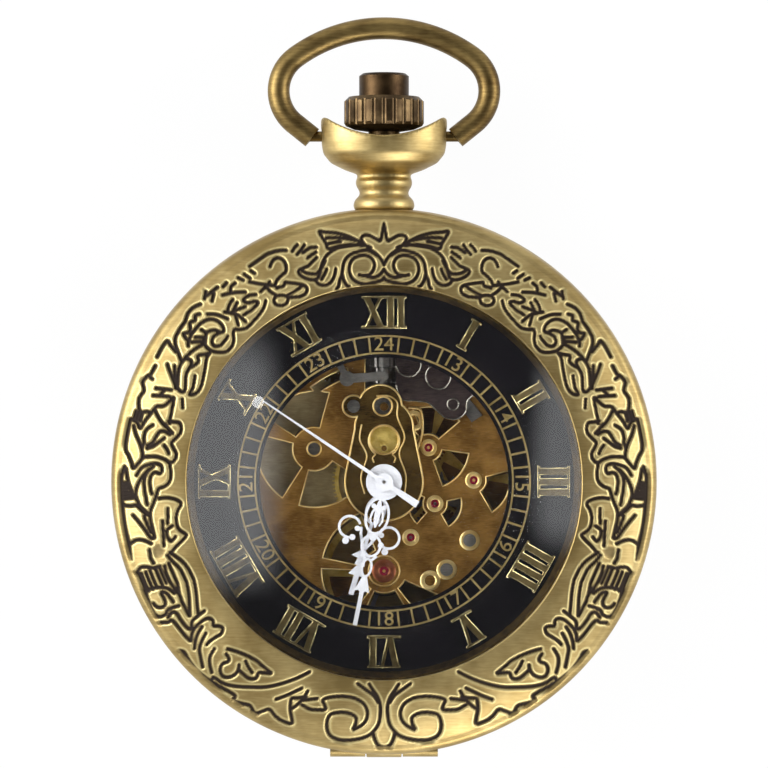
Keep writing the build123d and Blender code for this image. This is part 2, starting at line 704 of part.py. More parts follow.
def make_movement_ring():
    ring_body = ring(bore_r - part_gap, plate_r + part_gap, plate_bottom, ledge_bottom)
    lip = ring(plate_r + 0.5, plate_r - 0.8, plate_top + part_gap, ledge_bottom)
    lip -= slab(-4.6, 5.0, 8, plate_r + 1, plate_top, ledge_bottom + 1)
    ring_body += lip
    ring_body -= slab(-4.6, 5.0, 8, plate_r + 0.45, plate_top, ledge_bottom + 1)
    ring_body -= rod_y(stem_r + 0.1, plate_r - 1, bore_r + 1)
    for at in case_screw_places():
        ring_body -= disc(screw_r + 0.02, plate_bottom - 1, ledge_bottom + 1, at)
    for at in dog_screw_places():
        ring_body -= disc(0.32, plate_bottom - 1, ledge_bottom - 0.5, at)
    return ring_body


def dog_screw_places():
    return [polar(centre_at, plate_r + 0.6, degrees) for degrees in (0, 120, 240)]


def dial_screw_places():
    return [(-2.4, 5.95), polar(centre_at, 8.8, 44), (6.7, -4.6), (4.9, -6.9)]


def screw(at, head_z, tip_z, head_r, shaft_r, facing, head_height=0.3):
    """A slotted screw; facing is the side of the head, up or down along Z."""
    face_z = head_z + facing * head_height
    head = disc(head_r, min(head_z, face_z), max(head_z, face_z), at)
    slot = place(Box(head_r * 3, 0.16, head_height * 0.9), at, face_z)
    shaft = disc(shaft_r, min(head_z, tip_z), max(head_z, tip_z), at)
    return (head - slot) + shaft


def make_bridge_screws():
    places = barrel_pillars() + train_pillars()
    screws = [screw(at, bridge_bottom, plate_top - 0.8, screw_head_r, screw_r, -1) for at in places]
    screws.append(screw(cock_foot, 1.3, plate_top - 0.8, screw_head_r, screw_r, -1))
    for at in fork_bridge_feet:
        screws.append(screw(at, fork_bridge_bottom, plate_top - 0.8, 0.5, screw_r, -1, 0.18))
    return Compound(children=screws)


def make_case_screws():
    head_z = plate_bottom - 0.01
    screws = [screw(at, head_z, ledge_top - 0.2, 0.64, screw_r, -1) for at in case_screw_places()]
    screws += [screw(at, head_z, ledge_bottom - 0.7, 0.7, 0.3, -1) for at in dog_screw_places()]
    return Compound(children=screws)


def make_dial_side_screws():
    heads = (7.65, 7.1, plate_top, plate_top)
    screws = []
    for at, head_z in zip(dial_screw_places(), heads):
        screws.append(screw(at, head_z, plate_top - 0.7, 0.5, 0.28, 1))
    return Compound(children=screws)


def make_jewels():
    """Drilled stones for the pivots, one set in the plate and one in the bridges."""
    stones = []
    for at in jewel_places():
        stones.append(ring(jewel_r, pivot_r + 0.03, plate_top - jewel_height, plate_top, at))
    for at in (centre_at, third_at, fourth_at, escape_at):
        hole = 0.17 if at == centre_at else pivot_r + 0.03
        stones.append(ring(jewel_r, hole, bridge_bottom, bridge_bottom + jewel_height, at))
    stones.append(ring(jewel_r, pivot_r + 0.03, 1.3, 1.3 + jewel_height, balance_at))
    return Compound(children=stones)


# ---------------------------------------------------------------- mainspring barrel and winding
drum_bottom = 2.65
drum_top = 4.65
drum_r = 4.8
drum_wall = 0.2
core_r = 1.3


def make_barrel_drum():
    drum = disc(drum_r, drum_bottom, drum_top, barrel_at)
    drum -= disc(drum_r - 0.3, drum_bottom - 1, drum_top - drum_wall, barrel_at)
    drum += wheel(barrel_teeth, barrel_module, barrel_phase, 4.3, 4.6, barrel_at, drum_r - 0.2)
    drum -= disc(0.5 + running_gap, drum_bottom, drum_top + 1, barrel_at)
    return drum


def make_barrel_cover():
    return ring(drum_r - 0.3 - 0.02, 0.6 + running_gap, drum_bottom, drum_bottom + drum_wall, barrel_at)


def spiral(inner, outer, turns, width, low, high, at, start_deg=0.0):
    """A flat spiral strip of even width."""
    steps = 8
    count = int(turns * steps)
    inside = []
    outside = []
    for step in range(count + 1):
        share = step / count
        radius = inner + (outer - inner) * share
        degrees = start_deg + 360 * turns * share
        inside.append(polar((0, 0), radius - width / 2, degrees))
        outside.append(polar((0, 0), radius + width / 2, degrees))
    near, far = Spline(*inside), Spline(*outside)
    face = make_face([near, far, Line(near @ 0, far @ 0), Line(near @ 1, far @ 1)])
    return place(extrude(face, high - low), at, low)


def make_mainspring():
    return spiral(core_r + 0.2, drum_r - 0.55, 7, 0.16, drum_bottom + 0.4, drum_top - 0.4, barrel_at)


def make_barrel_arbor():
    body = disc(core_r, drum_bottom + 0.35, drum_top - 0.35, barrel_at)
    body += disc(0.6, bridge_bottom - 0.05, drum_bottom + 0.35, barrel_at)
    body += disc(0.45, 1.3, bridge_bottom, barrel_at)
    body += disc(0.5, drum_top - 0.35, plate_top - 0.4, barrel_at)
    return body


def make_ratchet_wheel():
    body = wheel(ratchet_teeth, keyless_module, ratchet_phase, 1.35, 1.68, barrel_at, 0.46)
    return body


def make_ratchet_screw():
    return screw(barrel_at, 1.3, 1.25, 1.0, 0.3, -1)


def make_crown_wheel():
    return wheel(crown_wheel_teeth, keyless_module, 0.0, 1.35, 1.68, crown_wheel_at, 0.46)


contrate_root_z = stem_z - winding_r - 0.18
contrate_tip_z = stem_z - winding_r + 0.1


def make_contrate_wheel():
    """The crown-toothed wheel that the winding pinion turns, with its shaft."""
    outer = contrate_mean_r + 0.25
    inner = contrate_mean_r - 0.25
    body = disc(outer, contrate_root_z - 0.4, contrate_root_z, crown_wheel_at)
    body += disc(0.8, bridge_bottom - 0.05, contrate_root_z - 0.4, crown_wheel_at)
    body += disc(0.45, 1.3, bridge_bottom, crown_wheel_at)
    pitch = 360 / contrate_teeth
    for tooth in range(contrate_teeth):
        middle = 90 + (tooth + 0.5) * pitch
        face = sector(outer, inner, middle - 0.17 * pitch, middle + 0.17 * pitch, crown_wheel_at)
        body += prism(face, contrate_root_z - 0.05, contrate_tip_z)
    return body


def make_winding_pinion():
    module = 2 * winding_r / winding_leaves
    face = gear_face(winding_leaves, module, -90, pinion=True) - Circle(stem_r + 0.03)
    body = extrude(face, winding_to - winding_from)
    return Pos(0, winding_to, stem_z) * Rot(90, 0, 0) * body


def make_sliding_pinion():
    length = sliding_to - sliding_from
    module = 0.17
    face = gear_face(12, module, 0, pinion=True)
    body = extrude(face, length)
    body = Pos(0, sliding_to, stem_z) * Rot(90, 0, 0) * body
    groove = rod_y(2, yoke_groove_y - 0.3, yoke_groove_y + 0.3)
    groove -= rod_y(0.72, yoke_groove_y - 1, yoke_groove_y + 1)
    body -= groove
    body -= rod_y(stem_r + 0.03, sliding_from - 1, sliding_to + 1)
    return body


def make_setting_lever():
    """Rides in the stem's groove and swings as the crown is pulled."""
    pin_at = (0.0, stem_groove_y)
    lever = prism(bar(lever_pivot, pin_at, 0.8) + Pos(*lever_pivot) * Circle(0.65), plate_top + 0.05, 7.1)
    lever += disc(0.2, stem_z + 0.38, plate_top + 0.1, pin_at)
    lever += disc(0.2, plate_top - 0.6, plate_top + 0.1, lever_pivot)
    tail = bar(lever_pivot, (4.3, 10.6), 0.6)
    return lever + prism(tail, plate_top + 0.05, 7.1)


def make_yoke():
    """The fork that shifts the sliding pinion along the stem."""
    finger_at = (0.0, yoke_groove_y)
    yoke = prism(bar(yoke_pivot, finger_at, 0.7) + Pos(*yoke_pivot) * Circle(0.6), yoke_bottom, yoke_top)
    yoke += disc(0.2, 6.77, 7.2, finger_at)
    yoke += disc(0.2, plate_top - 0.6, 7.2, yoke_pivot)
    tail = bar(yoke_pivot, (-3.6, 9.4), 0.5)
    return yoke + prism(tail, yoke_bottom, yoke_top)


def make_setting_spring():
    """The jumper that gives the crown its two clicks, screwed down beside the stem."""
    face = sector(9.3, 8.3, 34, 62) + sector(8.75, 8.45, 60, 66)
    spring = prism(face, plate_top + 0.05, 7.1)
    spring -= disc(0.3, plate_top - 1, 8, polar(centre_at, 8.8, 44))
    return spring


def make_click():
    tip = polar(barrel_at, pitch_r(ratchet_teeth, keyless_module) + 0.42, 118)
    face = bar(click_pivot, tip, 0.45) + Pos(*click_pivot) * Circle(0.5)
    click = prism(face, 1.35, 1.68)
    click += disc(0.22, 1.5, bridge_top - 0.2, click_pivot)
    return click


def make_click_spring():
    face = sector(12.4, 12.2, 151.5, 174) + sector(12.5, 11.7, 173.5, 178)
    return prism(face, 1.4, bridge_bottom)


# ---------------------------------------------------------------- going train
def make_centre_wheel():
    body = wheel(centre_teeth, centre_module, 0.0, 4.9, 5.1, centre_at, 0.2, 5, 0.75, 0.3)
    body += leaves(centre_pinion_leaves, barrel_module, centre_pinion_phase, 4.2, 4.75, centre_at, 0.2)
    body += ring(0.42, 0.2, 4.1, 7.95)
    return body


def make_cannon_pinion():
    body = leaves(cannon_leaves, motion_module, 0.0, 6.85, 7.1, centre_at, 0.43)
    body += ring(0.5, 0.43, 6.85, minute_hand_z + hand_thickness + 0.03)
    return body


def make_third_wheel():
    body = wheel(third_teeth, third_module, 0.0, 3.7, 3.9, third_at, 0.1, 5, 0.7, 0.3)
    body += leaves(third_pinion_leaves, centre_module, third_pinion_phase, 4.6, 5.12, third_at)
    return body + arbor(third_at, bridge_top + 0.05, 5.15, bridge_bottom + 0.1, plate_top - 0.05)


def make_fourth_wheel():
    body = wheel(fourth_teeth, fourth_module, 0.0, 3.0, 3.2, fourth_at, 0.1, 5, 0.6, 0.25)
    body += leaves(sweep_pinion_leaves, third_module, fourth_pinion_phase, 3.55, 4.05, fourth_at)
    return body + arbor(fourth_at, bridge_top + 0.05, 5.15, bridge_bottom + 0.1, plate_top - 0.05)


def make_sweep_seconds_pinion():
    body = disc(0.14, bridge_bottom + 0.1, seconds_hand_z + hand_thickness + 0.03, centre_at)
    return body + leaves(sweep_pinion_leaves, third_module, sweep_phase, 3.55, 4.02, centre_at)


def make_escape_wheel():
    """Fifteen raked club teeth on a light rim."""
    pitch = 360 / escape_teeth
    points = []
    for tooth in range(escape_teeth):
        angle = tooth * pitch
        points.append(polar((0, 0), escape_r - 0.55, angle))
        points.append(polar((0, 0), escape_r, angle + pitch * 0.30))
        points.append(polar((0, 0), escape_r, angle + pitch * 0.42))
        points.append(polar((0, 0), escape_r - 0.5, angle + pitch * 0.42))
    face = make_face(Polyline(*points, close=True))
    for spoke in range(4):
        face -= sector(escape_r - 0.8, 0.5, spoke * 90 + 12, spoke * 90 + 78)
    body = place(extrude(face, 0.2), escape_at, 4.2)
    body += leaves(escape_pinion_leaves, fourth_module, escape_pinion_phase, 2.85, 3.35, escape_at)
    shaft = disc(0.14, bridge_top + 0.05, 5.15, escape_at)
    shaft += disc(pivot_r, bridge_bottom + 0.1, plate_top - 0.05, escape_at)
    return body + shaft



def make_pallet_fork():
    """The lever between escape wheel and balance, with its two stones."""
    to_escape = direction(fork_at, escape_at)
    to_balance = direction(fork_at, balance_at)
    reach = distance(fork_at, balance_at) - 1.0
    face = bar(fork_at, polar(fork_at, reach, to_balance), 0.35)
    for side in (-1, 1):
        stone_at = polar(escape_at, escape_r + 0.62, to_escape + 180 + side * 32)
        face += bar(fork_at, stone_at, 0.35)
    fork = prism(face, 4.2, 4.4)
    fork += disc(0.14, fork_bridge_bottom + 0.4, 5.15, fork_at)
    return fork + disc(pivot_r, fork_bridge_bottom + 0.05, plate_top - 0.05, fork_at)


def make_balance_wheel():
    """The heavy rim on two arms, with its staff, roller and impulse pin."""
    rim_outer, rim_inner = 4.6, 4.1
    face = Circle(rim_outer) - Circle(rim_inner)
    face += Circle(0.7)
    rim = prism(face, 2.62, 3.1)
    arms = Rectangle(2 * rim_inner + 0.4, 0.5)
    rim += prism(arms, 2.75, 2.95)
    for screw_index in range(12):
        at = polar((0, 0), rim_outer - 0.25, screw_index * 30 + 15)
        rim += disc(0.16, 2.62, 3.18, at)
    body = place(rim, balance_at)
    body += disc(0.22, 2.15, 5.15, balance_at)
    body += disc(0.9, 3.85, 4.05, balance_at)
    body += disc(0.08, 4.05, 4.35, polar(balance_at, 0.7, direction(balance_at, fork_at)))
    return body + disc(pivot_r, 1.35, plate_top - 0.05, balance_at)


def make_hairspring():
    return spiral(0.42, 1.72, 8, 0.05, 2.25, 2.42, balance_at, 40)


def make_regulator():
    """The index lever that trims the rate, turning about the balance jewel."""
    body = Circle(0.95) - Circle(0.6)
    body += bar(polar((0, 0), 0.8, 250), polar((0, 0), 3.2, 250), 0.3)
    body += bar(polar((0, 0), 0.8, 60), polar((0, 0), 1.9, 60), 0.3)
    lever = place(prism(body, 1.08, 1.25), balance_at)
    return lever + disc(0.07, 1.2, 2.4, polar(balance_at, 1.9, 60))


# ---------------------------------------------------------------- motion work, dial and hands
def make_minute_wheel():
    body = wheel(minute_teeth, motion_module, minute_phase, 6.88, 7.07, minute_at, 0.24)
    return body + leaves(minute_pinion_leaves, motion_module, 0.0, 7.05, 7.35, minute_at, 0.24)


def make_hour_wheel():
    body = wheel(hour_teeth, motion_module, hour_phase, 7.15, 7.32, centre_at, 0.55)
    return body + ring(0.8, 0.55, 7.15, hour_hand_z + hand_thickness + 0.02)


def make_setting_wheel():
    return wheel(setting_teeth, motion_module, setting_phase, 6.9, 7.1, setting_at, 0.35)


def make_dial_ring():
    return ring(dial_outer_r, dial_inner_r, dial_bottom, dial_top)


def letter_strokes(letter):
    """Strokes of a Roman letter as (foot x, head x, width), in units of the letter height."""
    return {
        "I": [(0.0, 0.0, 0.19)],
        "V": [(0.0, -0.21, 0.19), (0.0, 0.21, 0.085)],
        "X": [(0.22, -0.22, 0.19), (-0.22, 0.22, 0.085)],
    }[letter]


letter_width = {"I": 0.31, "V": 0.66, "X": 0.7}
numerals = ("XII", "I", "II", "III", "IIII", "V", "VI", "VII", "VIII", "IX", "X", "XI")
serif = 0.065


def numeral_face(text, height):
    """One Roman numeral, upright, centred on x with its foot on y = 0."""
    width = sum(letter_width[letter] for letter in text)
    cursor = -width / 2
    face = None
    for letter in text:
        middle = cursor + letter_width[letter] / 2
        cursor += letter_width[letter]
        for foot, head, thick in letter_strokes(letter):
            low_x, high_x, half = (middle + foot) * height, (middle + head) * height, thick * height / 2
            corners = [(low_x - half, 0), (low_x + half, 0), (high_x + half, height), (high_x - half, height)]
            stroke = make_face(Polyline(*corners, close=True))
            face = stroke if face is None else face + stroke
    for y in (serif / 2, 1 - serif / 2):
        face += Pos(0, y * height) * Rectangle(width * height, serif * height)
    return face


def make_hour_numerals():
    inner = dial_outer_r - figure_gap - figure_height
    figures = []
    for hour, text in enumerate(numerals):
        figure = Rot(0, 0, -30 * hour) * Pos(0, inner) * numeral_face(text, figure_height)
        figures += prism(figure, dial_top, dial_top + numeral_height).solids()
    return Compound(children=figures)


def hand(length, tail, width, hub_r, hole_r, low, degrees):
    """A tapering hand pointing at an angle clockwise from twelve."""
    blade = make_face(Polyline(
        (-width * 0.35, 0), (-width, length * 0.55), (0, length), (width, length * 0.55), (width * 0.35, 0),
        (0.12, -tail), (-0.12, -tail), close=True))
    face = blade + Circle(hub_r) - Circle(hole_r)
    return Rot(0, 0, -degrees) * prism(face, low, low + hand_thickness)


def make_hour_hand():
    return hand(hour_hand_length, 0.5, 0.85, 1.35, 0.8, hour_hand_z, hour_hand_angle)


def make_minute_hand():
    return hand(minute_hand_length, 0.5, 0.7, 1.0, 0.5, minute_hand_z, minute_hand_angle)


def make_seconds_hand():
    return hand(seconds_hand_length, 3.6, 0.14, 0.5, 0.14, seconds_hand_z, seconds_hand_angle)


# ---------------------------------------------------------------- files
makers = {
    "case_band": make_case_band,
    "case_back": make_case_back,
    "pendant": make_pendant,
    "hinge_pin": make_hinge_pin,
    "lift_spring": make_lift_spring,
    "crystal_bezel": make_crystal_bezel,
    "inner_crystal": make_inner_crystal,
    "cover_ring": make_cover_ring,
    "magnifier_lens": make_magnifier_lens,
    "lens_retainer": make_lens_retainer,
    "cover_latch": make_cover_latch,
    "bow": make_bow,
    "crown": make_crown,
    "cover_button": make_cover_button,
    "button_spring": make_button_spring,
    "winding_stem": make_winding_stem,
    "main_plate": make_main_plate,
    "barrel_bridge": make_barrel_bridge,
    "train_bridge": make_train_bridge,
    "balance_cock": make_balance_cock,
    "pallet_bridge": make_pallet_bridge,
    "motion_bridge": make_motion_bridge,
    "movement_ring": make_movement_ring,
    "bridge_screws": make_bridge_screws,
    "case_screws": make_case_screws,
    "dial_side_screws": make_dial_side_screws,
    "jewels": make_jewels,
    "barrel_drum": make_barrel_drum,
    "barrel_cover": make_barrel_cover,
    "mainspring": make_mainspring,
    "barrel_arbor": make_barrel_arbor,
    "ratchet_wheel": make_ratchet_wheel,
    "ratchet_screw": make_ratchet_screw,
    "crown_wheel": make_crown_wheel,
    "contrate_wheel": make_contrate_wheel,
    "winding_pinion": make_winding_pinion,
    "sliding_pinion": make_sliding_pinion,
    "setting_lever": make_setting_lever,
    "yoke": make_yoke,
    "setting_spring": make_setting_spring,
    "click": make_click,
    "click_spring": make_click_spring,
    "centre_wheel": make_centre_wheel,
    "cannon_pinion": make_cannon_pinion,
    "third_wheel": make_third_wheel,
    "fourth_wheel": make_fourth_wheel,
    "sweep_seconds_pinion": make_sweep_seconds_pinion,
    "escape_wheel": make_escape_wheel,
    "pallet_fork": make_pallet_fork,
    "balance_wheel": make_balance_wheel,
    "hairspring": make_hairspring,
    "regulator": make_regulator,
    "minute_wheel": make_minute_wheel,
    "hour_wheel": make_hour_wheel,
    "setting_wheel": make_setting_wheel,
    "dial_ring": make_dial_ring,
    "hour_numerals": make_hour_numerals,
    "hour_hand": make_hour_hand,
    "minute_hand": make_minute_hand,
    "seconds_hand": make_seconds_hand,
}

os.makedirs("parts", exist_ok=True)
for name, maker in makers.items():
    export_step(maker(), f"parts/{name}.step")
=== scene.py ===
import json
import math

import bpy
import numpy as np
from mathutils import Matrix, Vector


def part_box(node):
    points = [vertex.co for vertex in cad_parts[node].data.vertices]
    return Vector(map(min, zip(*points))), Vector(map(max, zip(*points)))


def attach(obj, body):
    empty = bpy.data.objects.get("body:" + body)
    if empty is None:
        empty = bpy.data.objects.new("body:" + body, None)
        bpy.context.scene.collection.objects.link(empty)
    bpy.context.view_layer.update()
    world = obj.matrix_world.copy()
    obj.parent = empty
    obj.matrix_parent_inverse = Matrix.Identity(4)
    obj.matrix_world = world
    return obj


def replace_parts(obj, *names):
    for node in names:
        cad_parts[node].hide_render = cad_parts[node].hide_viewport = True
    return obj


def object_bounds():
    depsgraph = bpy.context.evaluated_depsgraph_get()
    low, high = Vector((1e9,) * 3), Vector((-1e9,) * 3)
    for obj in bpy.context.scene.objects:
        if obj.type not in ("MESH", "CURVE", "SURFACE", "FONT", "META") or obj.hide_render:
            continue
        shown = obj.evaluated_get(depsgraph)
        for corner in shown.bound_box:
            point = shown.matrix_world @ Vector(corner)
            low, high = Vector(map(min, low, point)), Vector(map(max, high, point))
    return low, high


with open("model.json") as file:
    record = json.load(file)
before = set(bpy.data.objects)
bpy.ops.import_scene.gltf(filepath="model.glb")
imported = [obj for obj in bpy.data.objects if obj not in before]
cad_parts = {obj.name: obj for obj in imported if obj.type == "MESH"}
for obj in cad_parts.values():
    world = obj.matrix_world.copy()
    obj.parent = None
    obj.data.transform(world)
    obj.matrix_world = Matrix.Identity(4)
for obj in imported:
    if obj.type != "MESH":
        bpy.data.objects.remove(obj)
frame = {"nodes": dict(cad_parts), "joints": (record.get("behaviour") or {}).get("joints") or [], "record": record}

cad_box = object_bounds()
MM = 0.001
weld = 0.0005 * MM       # points closer than this are one point
nodes = frame["nodes"]


# ---------------------------------------------------------------- shader maths
class Value:
    """A shader socket that takes part in arithmetic by adding Math nodes."""

    def __init__(self, shader, socket):
        self.shader = shader
        self.socket = socket

    def math(self, operation, left, right=0.0):
        return self.shader.node("ShaderNodeMath", {"operation": operation}, {0: left, 1: right})

    def __add__(self, other):
        return self.math("ADD", self, other)

    def __sub__(self, other):
        return self.math("SUBTRACT", self, other)

    def __rsub__(self, other):
        return self.math("SUBTRACT", other, self)

    def __mul__(self, other):
        return self.math("MULTIPLY", self, other)

    __radd__ = __add__
    __rmul__ = __mul__

    def most(self, other):
        return self.math("MAXIMUM", self, other)


class Shader:
    """One material: its node tree around a Principled shader."""

    def __init__(self, name, **settings):
        self.material = bpy.data.materials.new(name)
        self.material.use_nodes = True
        self.tree = self.material.node_tree
        self.surface = self.tree.nodes["Principled BSDF"]
        self.output = self.tree.nodes["Material Output"]
        for socket, value in settings.items():
            self.surface.inputs[socket.replace("_", " ")].default_value = value

    def node(self, kind, settings, inputs, output=0):
        made = self.tree.nodes.new(kind)
        for key, value in settings.items():
            setattr(made, key, value)
        for key, value in inputs.items():
            self.feed(made.inputs[key], value)
        return Value(self, made.outputs[output])

    def feed(self, socket, value):
        if isinstance(value, Value):
            self.tree.links.new(value.socket, socket)
        else:
            socket.default_value = value

    def set(self, socket, value):
        self.feed(self.surface.inputs[socket], value)

    def place(self):
        return self.node("ShaderNodeTexCoord", {}, {}, "Object")

    def stretched(self, scale):
        return self.node("ShaderNodeMapping", {}, {"Vector": self.place(), "Scale": scale})

    def noise(self, scale, detail=3.0, roughness=0.5, vector=None):
        vector = vector or self.place()
        return self.node(
            "ShaderNodeTexNoise", {},
            {"Vector": vector, "Scale": scale, "Detail": detail, "Roughness": roughness})

    def step(self, value, low, high, out_low=0.0, out_high=1.0):
        inputs = {0: value, 1: low, 2: high, 3: out_low, 4: out_high}
        return self.node("ShaderNodeMapRange", {"interpolation_type": "SMOOTHSTEP"}, inputs)

    def mix(self, share, first, second):
        return self.node(
            "ShaderNodeMix", {"data_type": "RGBA"}, {0: share, 6: first, 7: second}, 2)

    def attribute(self, name):
        return self.node("ShaderNodeAttribute", {"attribute_name": name}, {}, "Fac")

    def bump(self, height, distance, strength=1.0):
        self.set("Normal", self.node(
            "ShaderNodeBump", {}, {"Height": height, "Distance": distance, "Strength": strength}))


def colour(red, green, blue):
    """A colour from its usual 0 to 255 values, as the shaders take it."""
    return tuple((part / 255) ** 2.2 for part in (red, green, blue)) + (1.0,)


# ---------------------------------------------------------------- materials
class Sky(Shader):
    """The world's own node tree, with the same maths."""

    def __init__(self, name):
        world = bpy.data.worlds.new(name)
        bpy.context.scene.world = world
        world.use_nodes = True
        self.tree = world.node_tree
        self.background = self.tree.nodes["Background"]

    def ways(self):
        """The three parts of the direction looked in."""
        place = self.node("ShaderNodeTexCoord", {}, {}, "Generated")
        return [self.node("ShaderNodeSeparateXYZ", {}, {0: place}, part) for part in "XYZ"]


def aged_brass(name="aged_brass", engraved=False, dark=(148, 126, 80), light=(188, 166, 114)):
    """Brass with a brown patina that stays in the hollows and, when engraved, a painted highlight along the rim
    beside each groove.
    """
    shader = Shader(name, Metallic=1.0)
    cloud = shader.noise(160, 4, 0.6)
    grain = shader.noise(2600, 2, 0.6)
    brushed = shader.noise(700, 3, 0.6, shader.stretched((1, 9, 1)))
    tone = shader.step(cloud + 0.35 * (brushed - 0.5), 0.3, 0.72)
    base = shader.mix(tone, colour(*dark), colour(*light))
    rough = 0.36 + 0.12 * cloud + 0.08 * grain
    relief = 0.5 * grain + 0.5 * brushed
    if engraved:
        patina = shader.attribute("patina")
        # Painted highlight: where the relief attribute marks a groove's rim, the brass is mixed towards a pale
        # colour.
        painted_rim_highlight = shader.attribute("relief")
        base = shader.mix(painted_rim_highlight * 0.7, base, colour(232, 216, 156))
        base = shader.mix(patina, base, colour(40, 29, 20))
        rough = rough + 0.25 * patina
        shader.set("Metallic", 1.0 - 0.45 * patina)
    shader.set("Base Color", base)
    shader.set("Roughness", rough)
    shader.bump(relief, 0.012 * MM, 0.6)
    return shader.material


def dark_bronze(name="dark_bronze", dark=(74, 60, 44), light=(118, 98, 70)):
    """Bronze gone brown with handling, with a cloudy tone."""
    shader = Shader(name, Metallic=1.0)
    cloud = shader.noise(420, 4, 0.65)
    tone = shader.step(cloud, 0.35, 0.7)
    shader.set("Base Color", shader.mix(tone, colour(*dark), colour(*light)))
    shader.set("Roughness", 0.34 + 0.2 * cloud)
    shader.bump(shader.noise(3000, 3, 0.6), 0.012 * MM, 0.7)
    return shader.material


def metal(name, dark, light, rough, scale=300, grain=(1, 1, 1), depth=0.006):
    """A plain metal finish with soft tone changes and a fine grain along one way."""
    shader = Shader(name, Metallic=1.0)
    cloud = shader.noise(scale, 3, 0.6)
    lines = shader.noise(1800, 2, 0.6, shader.stretched(grain))
    tone = shader.step(cloud * 0.6 + lines * 0.4, 0.35, 0.65)
    shader.set("Base Color", shader.mix(tone, colour(*dark), colour(*light)))
    shader.set("Roughness", rough + 0.16 * (lines - 0.5) + 0.1 * (cloud - 0.5))
    shader.bump(lines, depth * MM, 0.6)
    return shader.material


def glass(name, tint):
    """Clear glass whose shadow rays pass, so that lamps reach what lies beneath."""
    shader = Shader(name, IOR=1.5, Base_Color=tint, Transmission_Weight=1.0)
    smear = shader.noise(90, 3, 0.6)
    shader.set("Roughness", shader.step(smear, 0.5, 0.9, 0.0, 0.03))
    path = shader.node("ShaderNodeLightPath", {}, {}, "Is Shadow Ray")
    clear = shader.node("ShaderNodeBsdfTransparent", {}, {"Color": (0.96, 0.96, 0.96, 1.0)})
    surface = Value(shader, shader.surface.outputs[0])
    mixed = shader.node("ShaderNodeMixShader", {}, {0: path, 1: surface, 2: clear})
    shader.feed(shader.output.inputs["Surface"], mixed)
    return shader.material


def enamel(name, base, rough, coat, mottle=0.06):
    """A smooth opaque coat with a faint mottle."""
    shader = Shader(name, Coat_Weight=coat, Coat_Roughness=0.05)
    cloud = shader.noise(500, 3, 0.6)
    dim = tuple(part * (1 - mottle * 4) for part in base[:3]) + (1.0,)
    shader.set("Base Color", shader.mix(cloud, dim, base))
    shader.set("Roughness", rough + 0.1 * cloud)
    shader.bump(shader.noise(2500, 2, 0.5), 0.003 * MM, 0.3)
    return shader.material


def ruby():
    """The deep red of a bearing jewel."""
    shader = Shader("ruby", IOR=1.76, Coat_Weight=0.6, Coat_Roughness=0.03)
    cloud = shader.noise(900, 2, 0.5)
    shader.set("Base Color", shader.mix(cloud, colour(70, 4, 22), colour(128, 14, 42)))
    shader.set("Roughness", 0.08 + 0.1 * cloud)
    shader.bump(cloud, 0.004 * MM, 0.4)
    return shader.material


finish = {
    "aged_brass": aged_brass(),
    "engraved_brass": aged_brass("engraved_brass", engraved=True),
    # Painted shade: a darker copy of the aged brass, so that the bow looks darker than the case.
    "bow_brass_painted_shade": aged_brass("bow_brass_painted_shade", dark=(84, 66, 40), light=(146, 124, 78)),
    "dark_bronze": dark_bronze(),
    # Painted shade: a darker copy of the dark bronze, so that the button looks darker than the crown.
    "button_bronze_painted_shade": dark_bronze("button_bronze_painted_shade", (50, 39, 29), (82, 65, 46)),
    "plain_brass": metal("plain_brass", (66, 52, 34), (104, 86, 54), 0.4),
    "gilt_brass": metal("gilt_brass", (112, 78, 36), (168, 126, 66), 0.4, 420, (1, 14, 1)),
    "gilt_steel": metal("gilt_steel", (92, 70, 34), (132, 104, 54), 0.3, 420, (1, 18, 1)),
    "drum_brass": metal("drum_brass", (150, 132, 92), (204, 186, 142), 0.4, 300, (1, 30, 1)),
    "bright_gilt": metal("bright_gilt", (236, 196, 116), (252, 224, 156), 0.34),
    "wheel_brass": metal("wheel_brass", (196, 164, 76), (238, 212, 124), 0.46, 500),
    "polished_steel": metal("polished_steel", (112, 108, 104), (160, 156, 150), 0.32, 400, (1, 14, 1)),
    "bright_steel": metal("bright_steel", (190, 184, 170), (236, 230, 214), 0.16),
    "spring_steel": metal("spring_steel", (70, 74, 86), (120, 126, 138), 0.25),
    "ruby": ruby(),
    "crystal_glass": glass("crystal_glass", (1.0, 1.0, 1.0, 1.0)),
    "lens_glass": glass("lens_glass", (0.985, 0.99, 0.99, 1.0)),
    "black_dial": enamel("black_dial", colour(17, 14, 19), 0.14, 0.0),
    "gold_figures": metal("gold_figures", (96, 82, 52), (140, 122, 82), 0.36),
    "bright_figures": metal("bright_figures", (206, 186, 128), (244, 228, 172), 0.2),
    "white_hands": enamel("white_hands", colour(206, 207, 212), 0.4, 0.15, 0.02),
    "gold_print": metal("gold_print", (150, 128, 78), (190, 168, 112), 0.45),
    "copper": metal("copper", (150, 84, 56), (196, 122, 88), 0.32),
    "dark_steel": metal("dark_steel", (70, 58, 58), (104, 90, 88), 0.3, 400, (1, 16, 1)),
}

slot_of = {entry["node"]: entry["material_slot"] for entry in frame["record"]["subparts"]}
for name, node in nodes.items():
    node.data.materials.clear()
    node.data.materials.append(finish[slot_of[name]])
nodes["motion_bridge"].data.materials[0] = finish["gilt_steel"]
# The cover button takes the darker copy of the bronze, which paints in shade.
nodes["cover_button"].data.materials[0] = finish["button_bronze_painted_shade"]
for name in ("barrel_drum", "barrel_cover"):
    nodes[name].data.materials[0] = finish["drum_brass"]


# ---------------------------------------------------------------- modelling helpers
def clear_selection():
    if bpy.context.object and bpy.context.object.mode != "OBJECT":
        bpy.ops.object.mode_set(mode="OBJECT")
    bpy.ops.object.select_all(action="DESELECT")


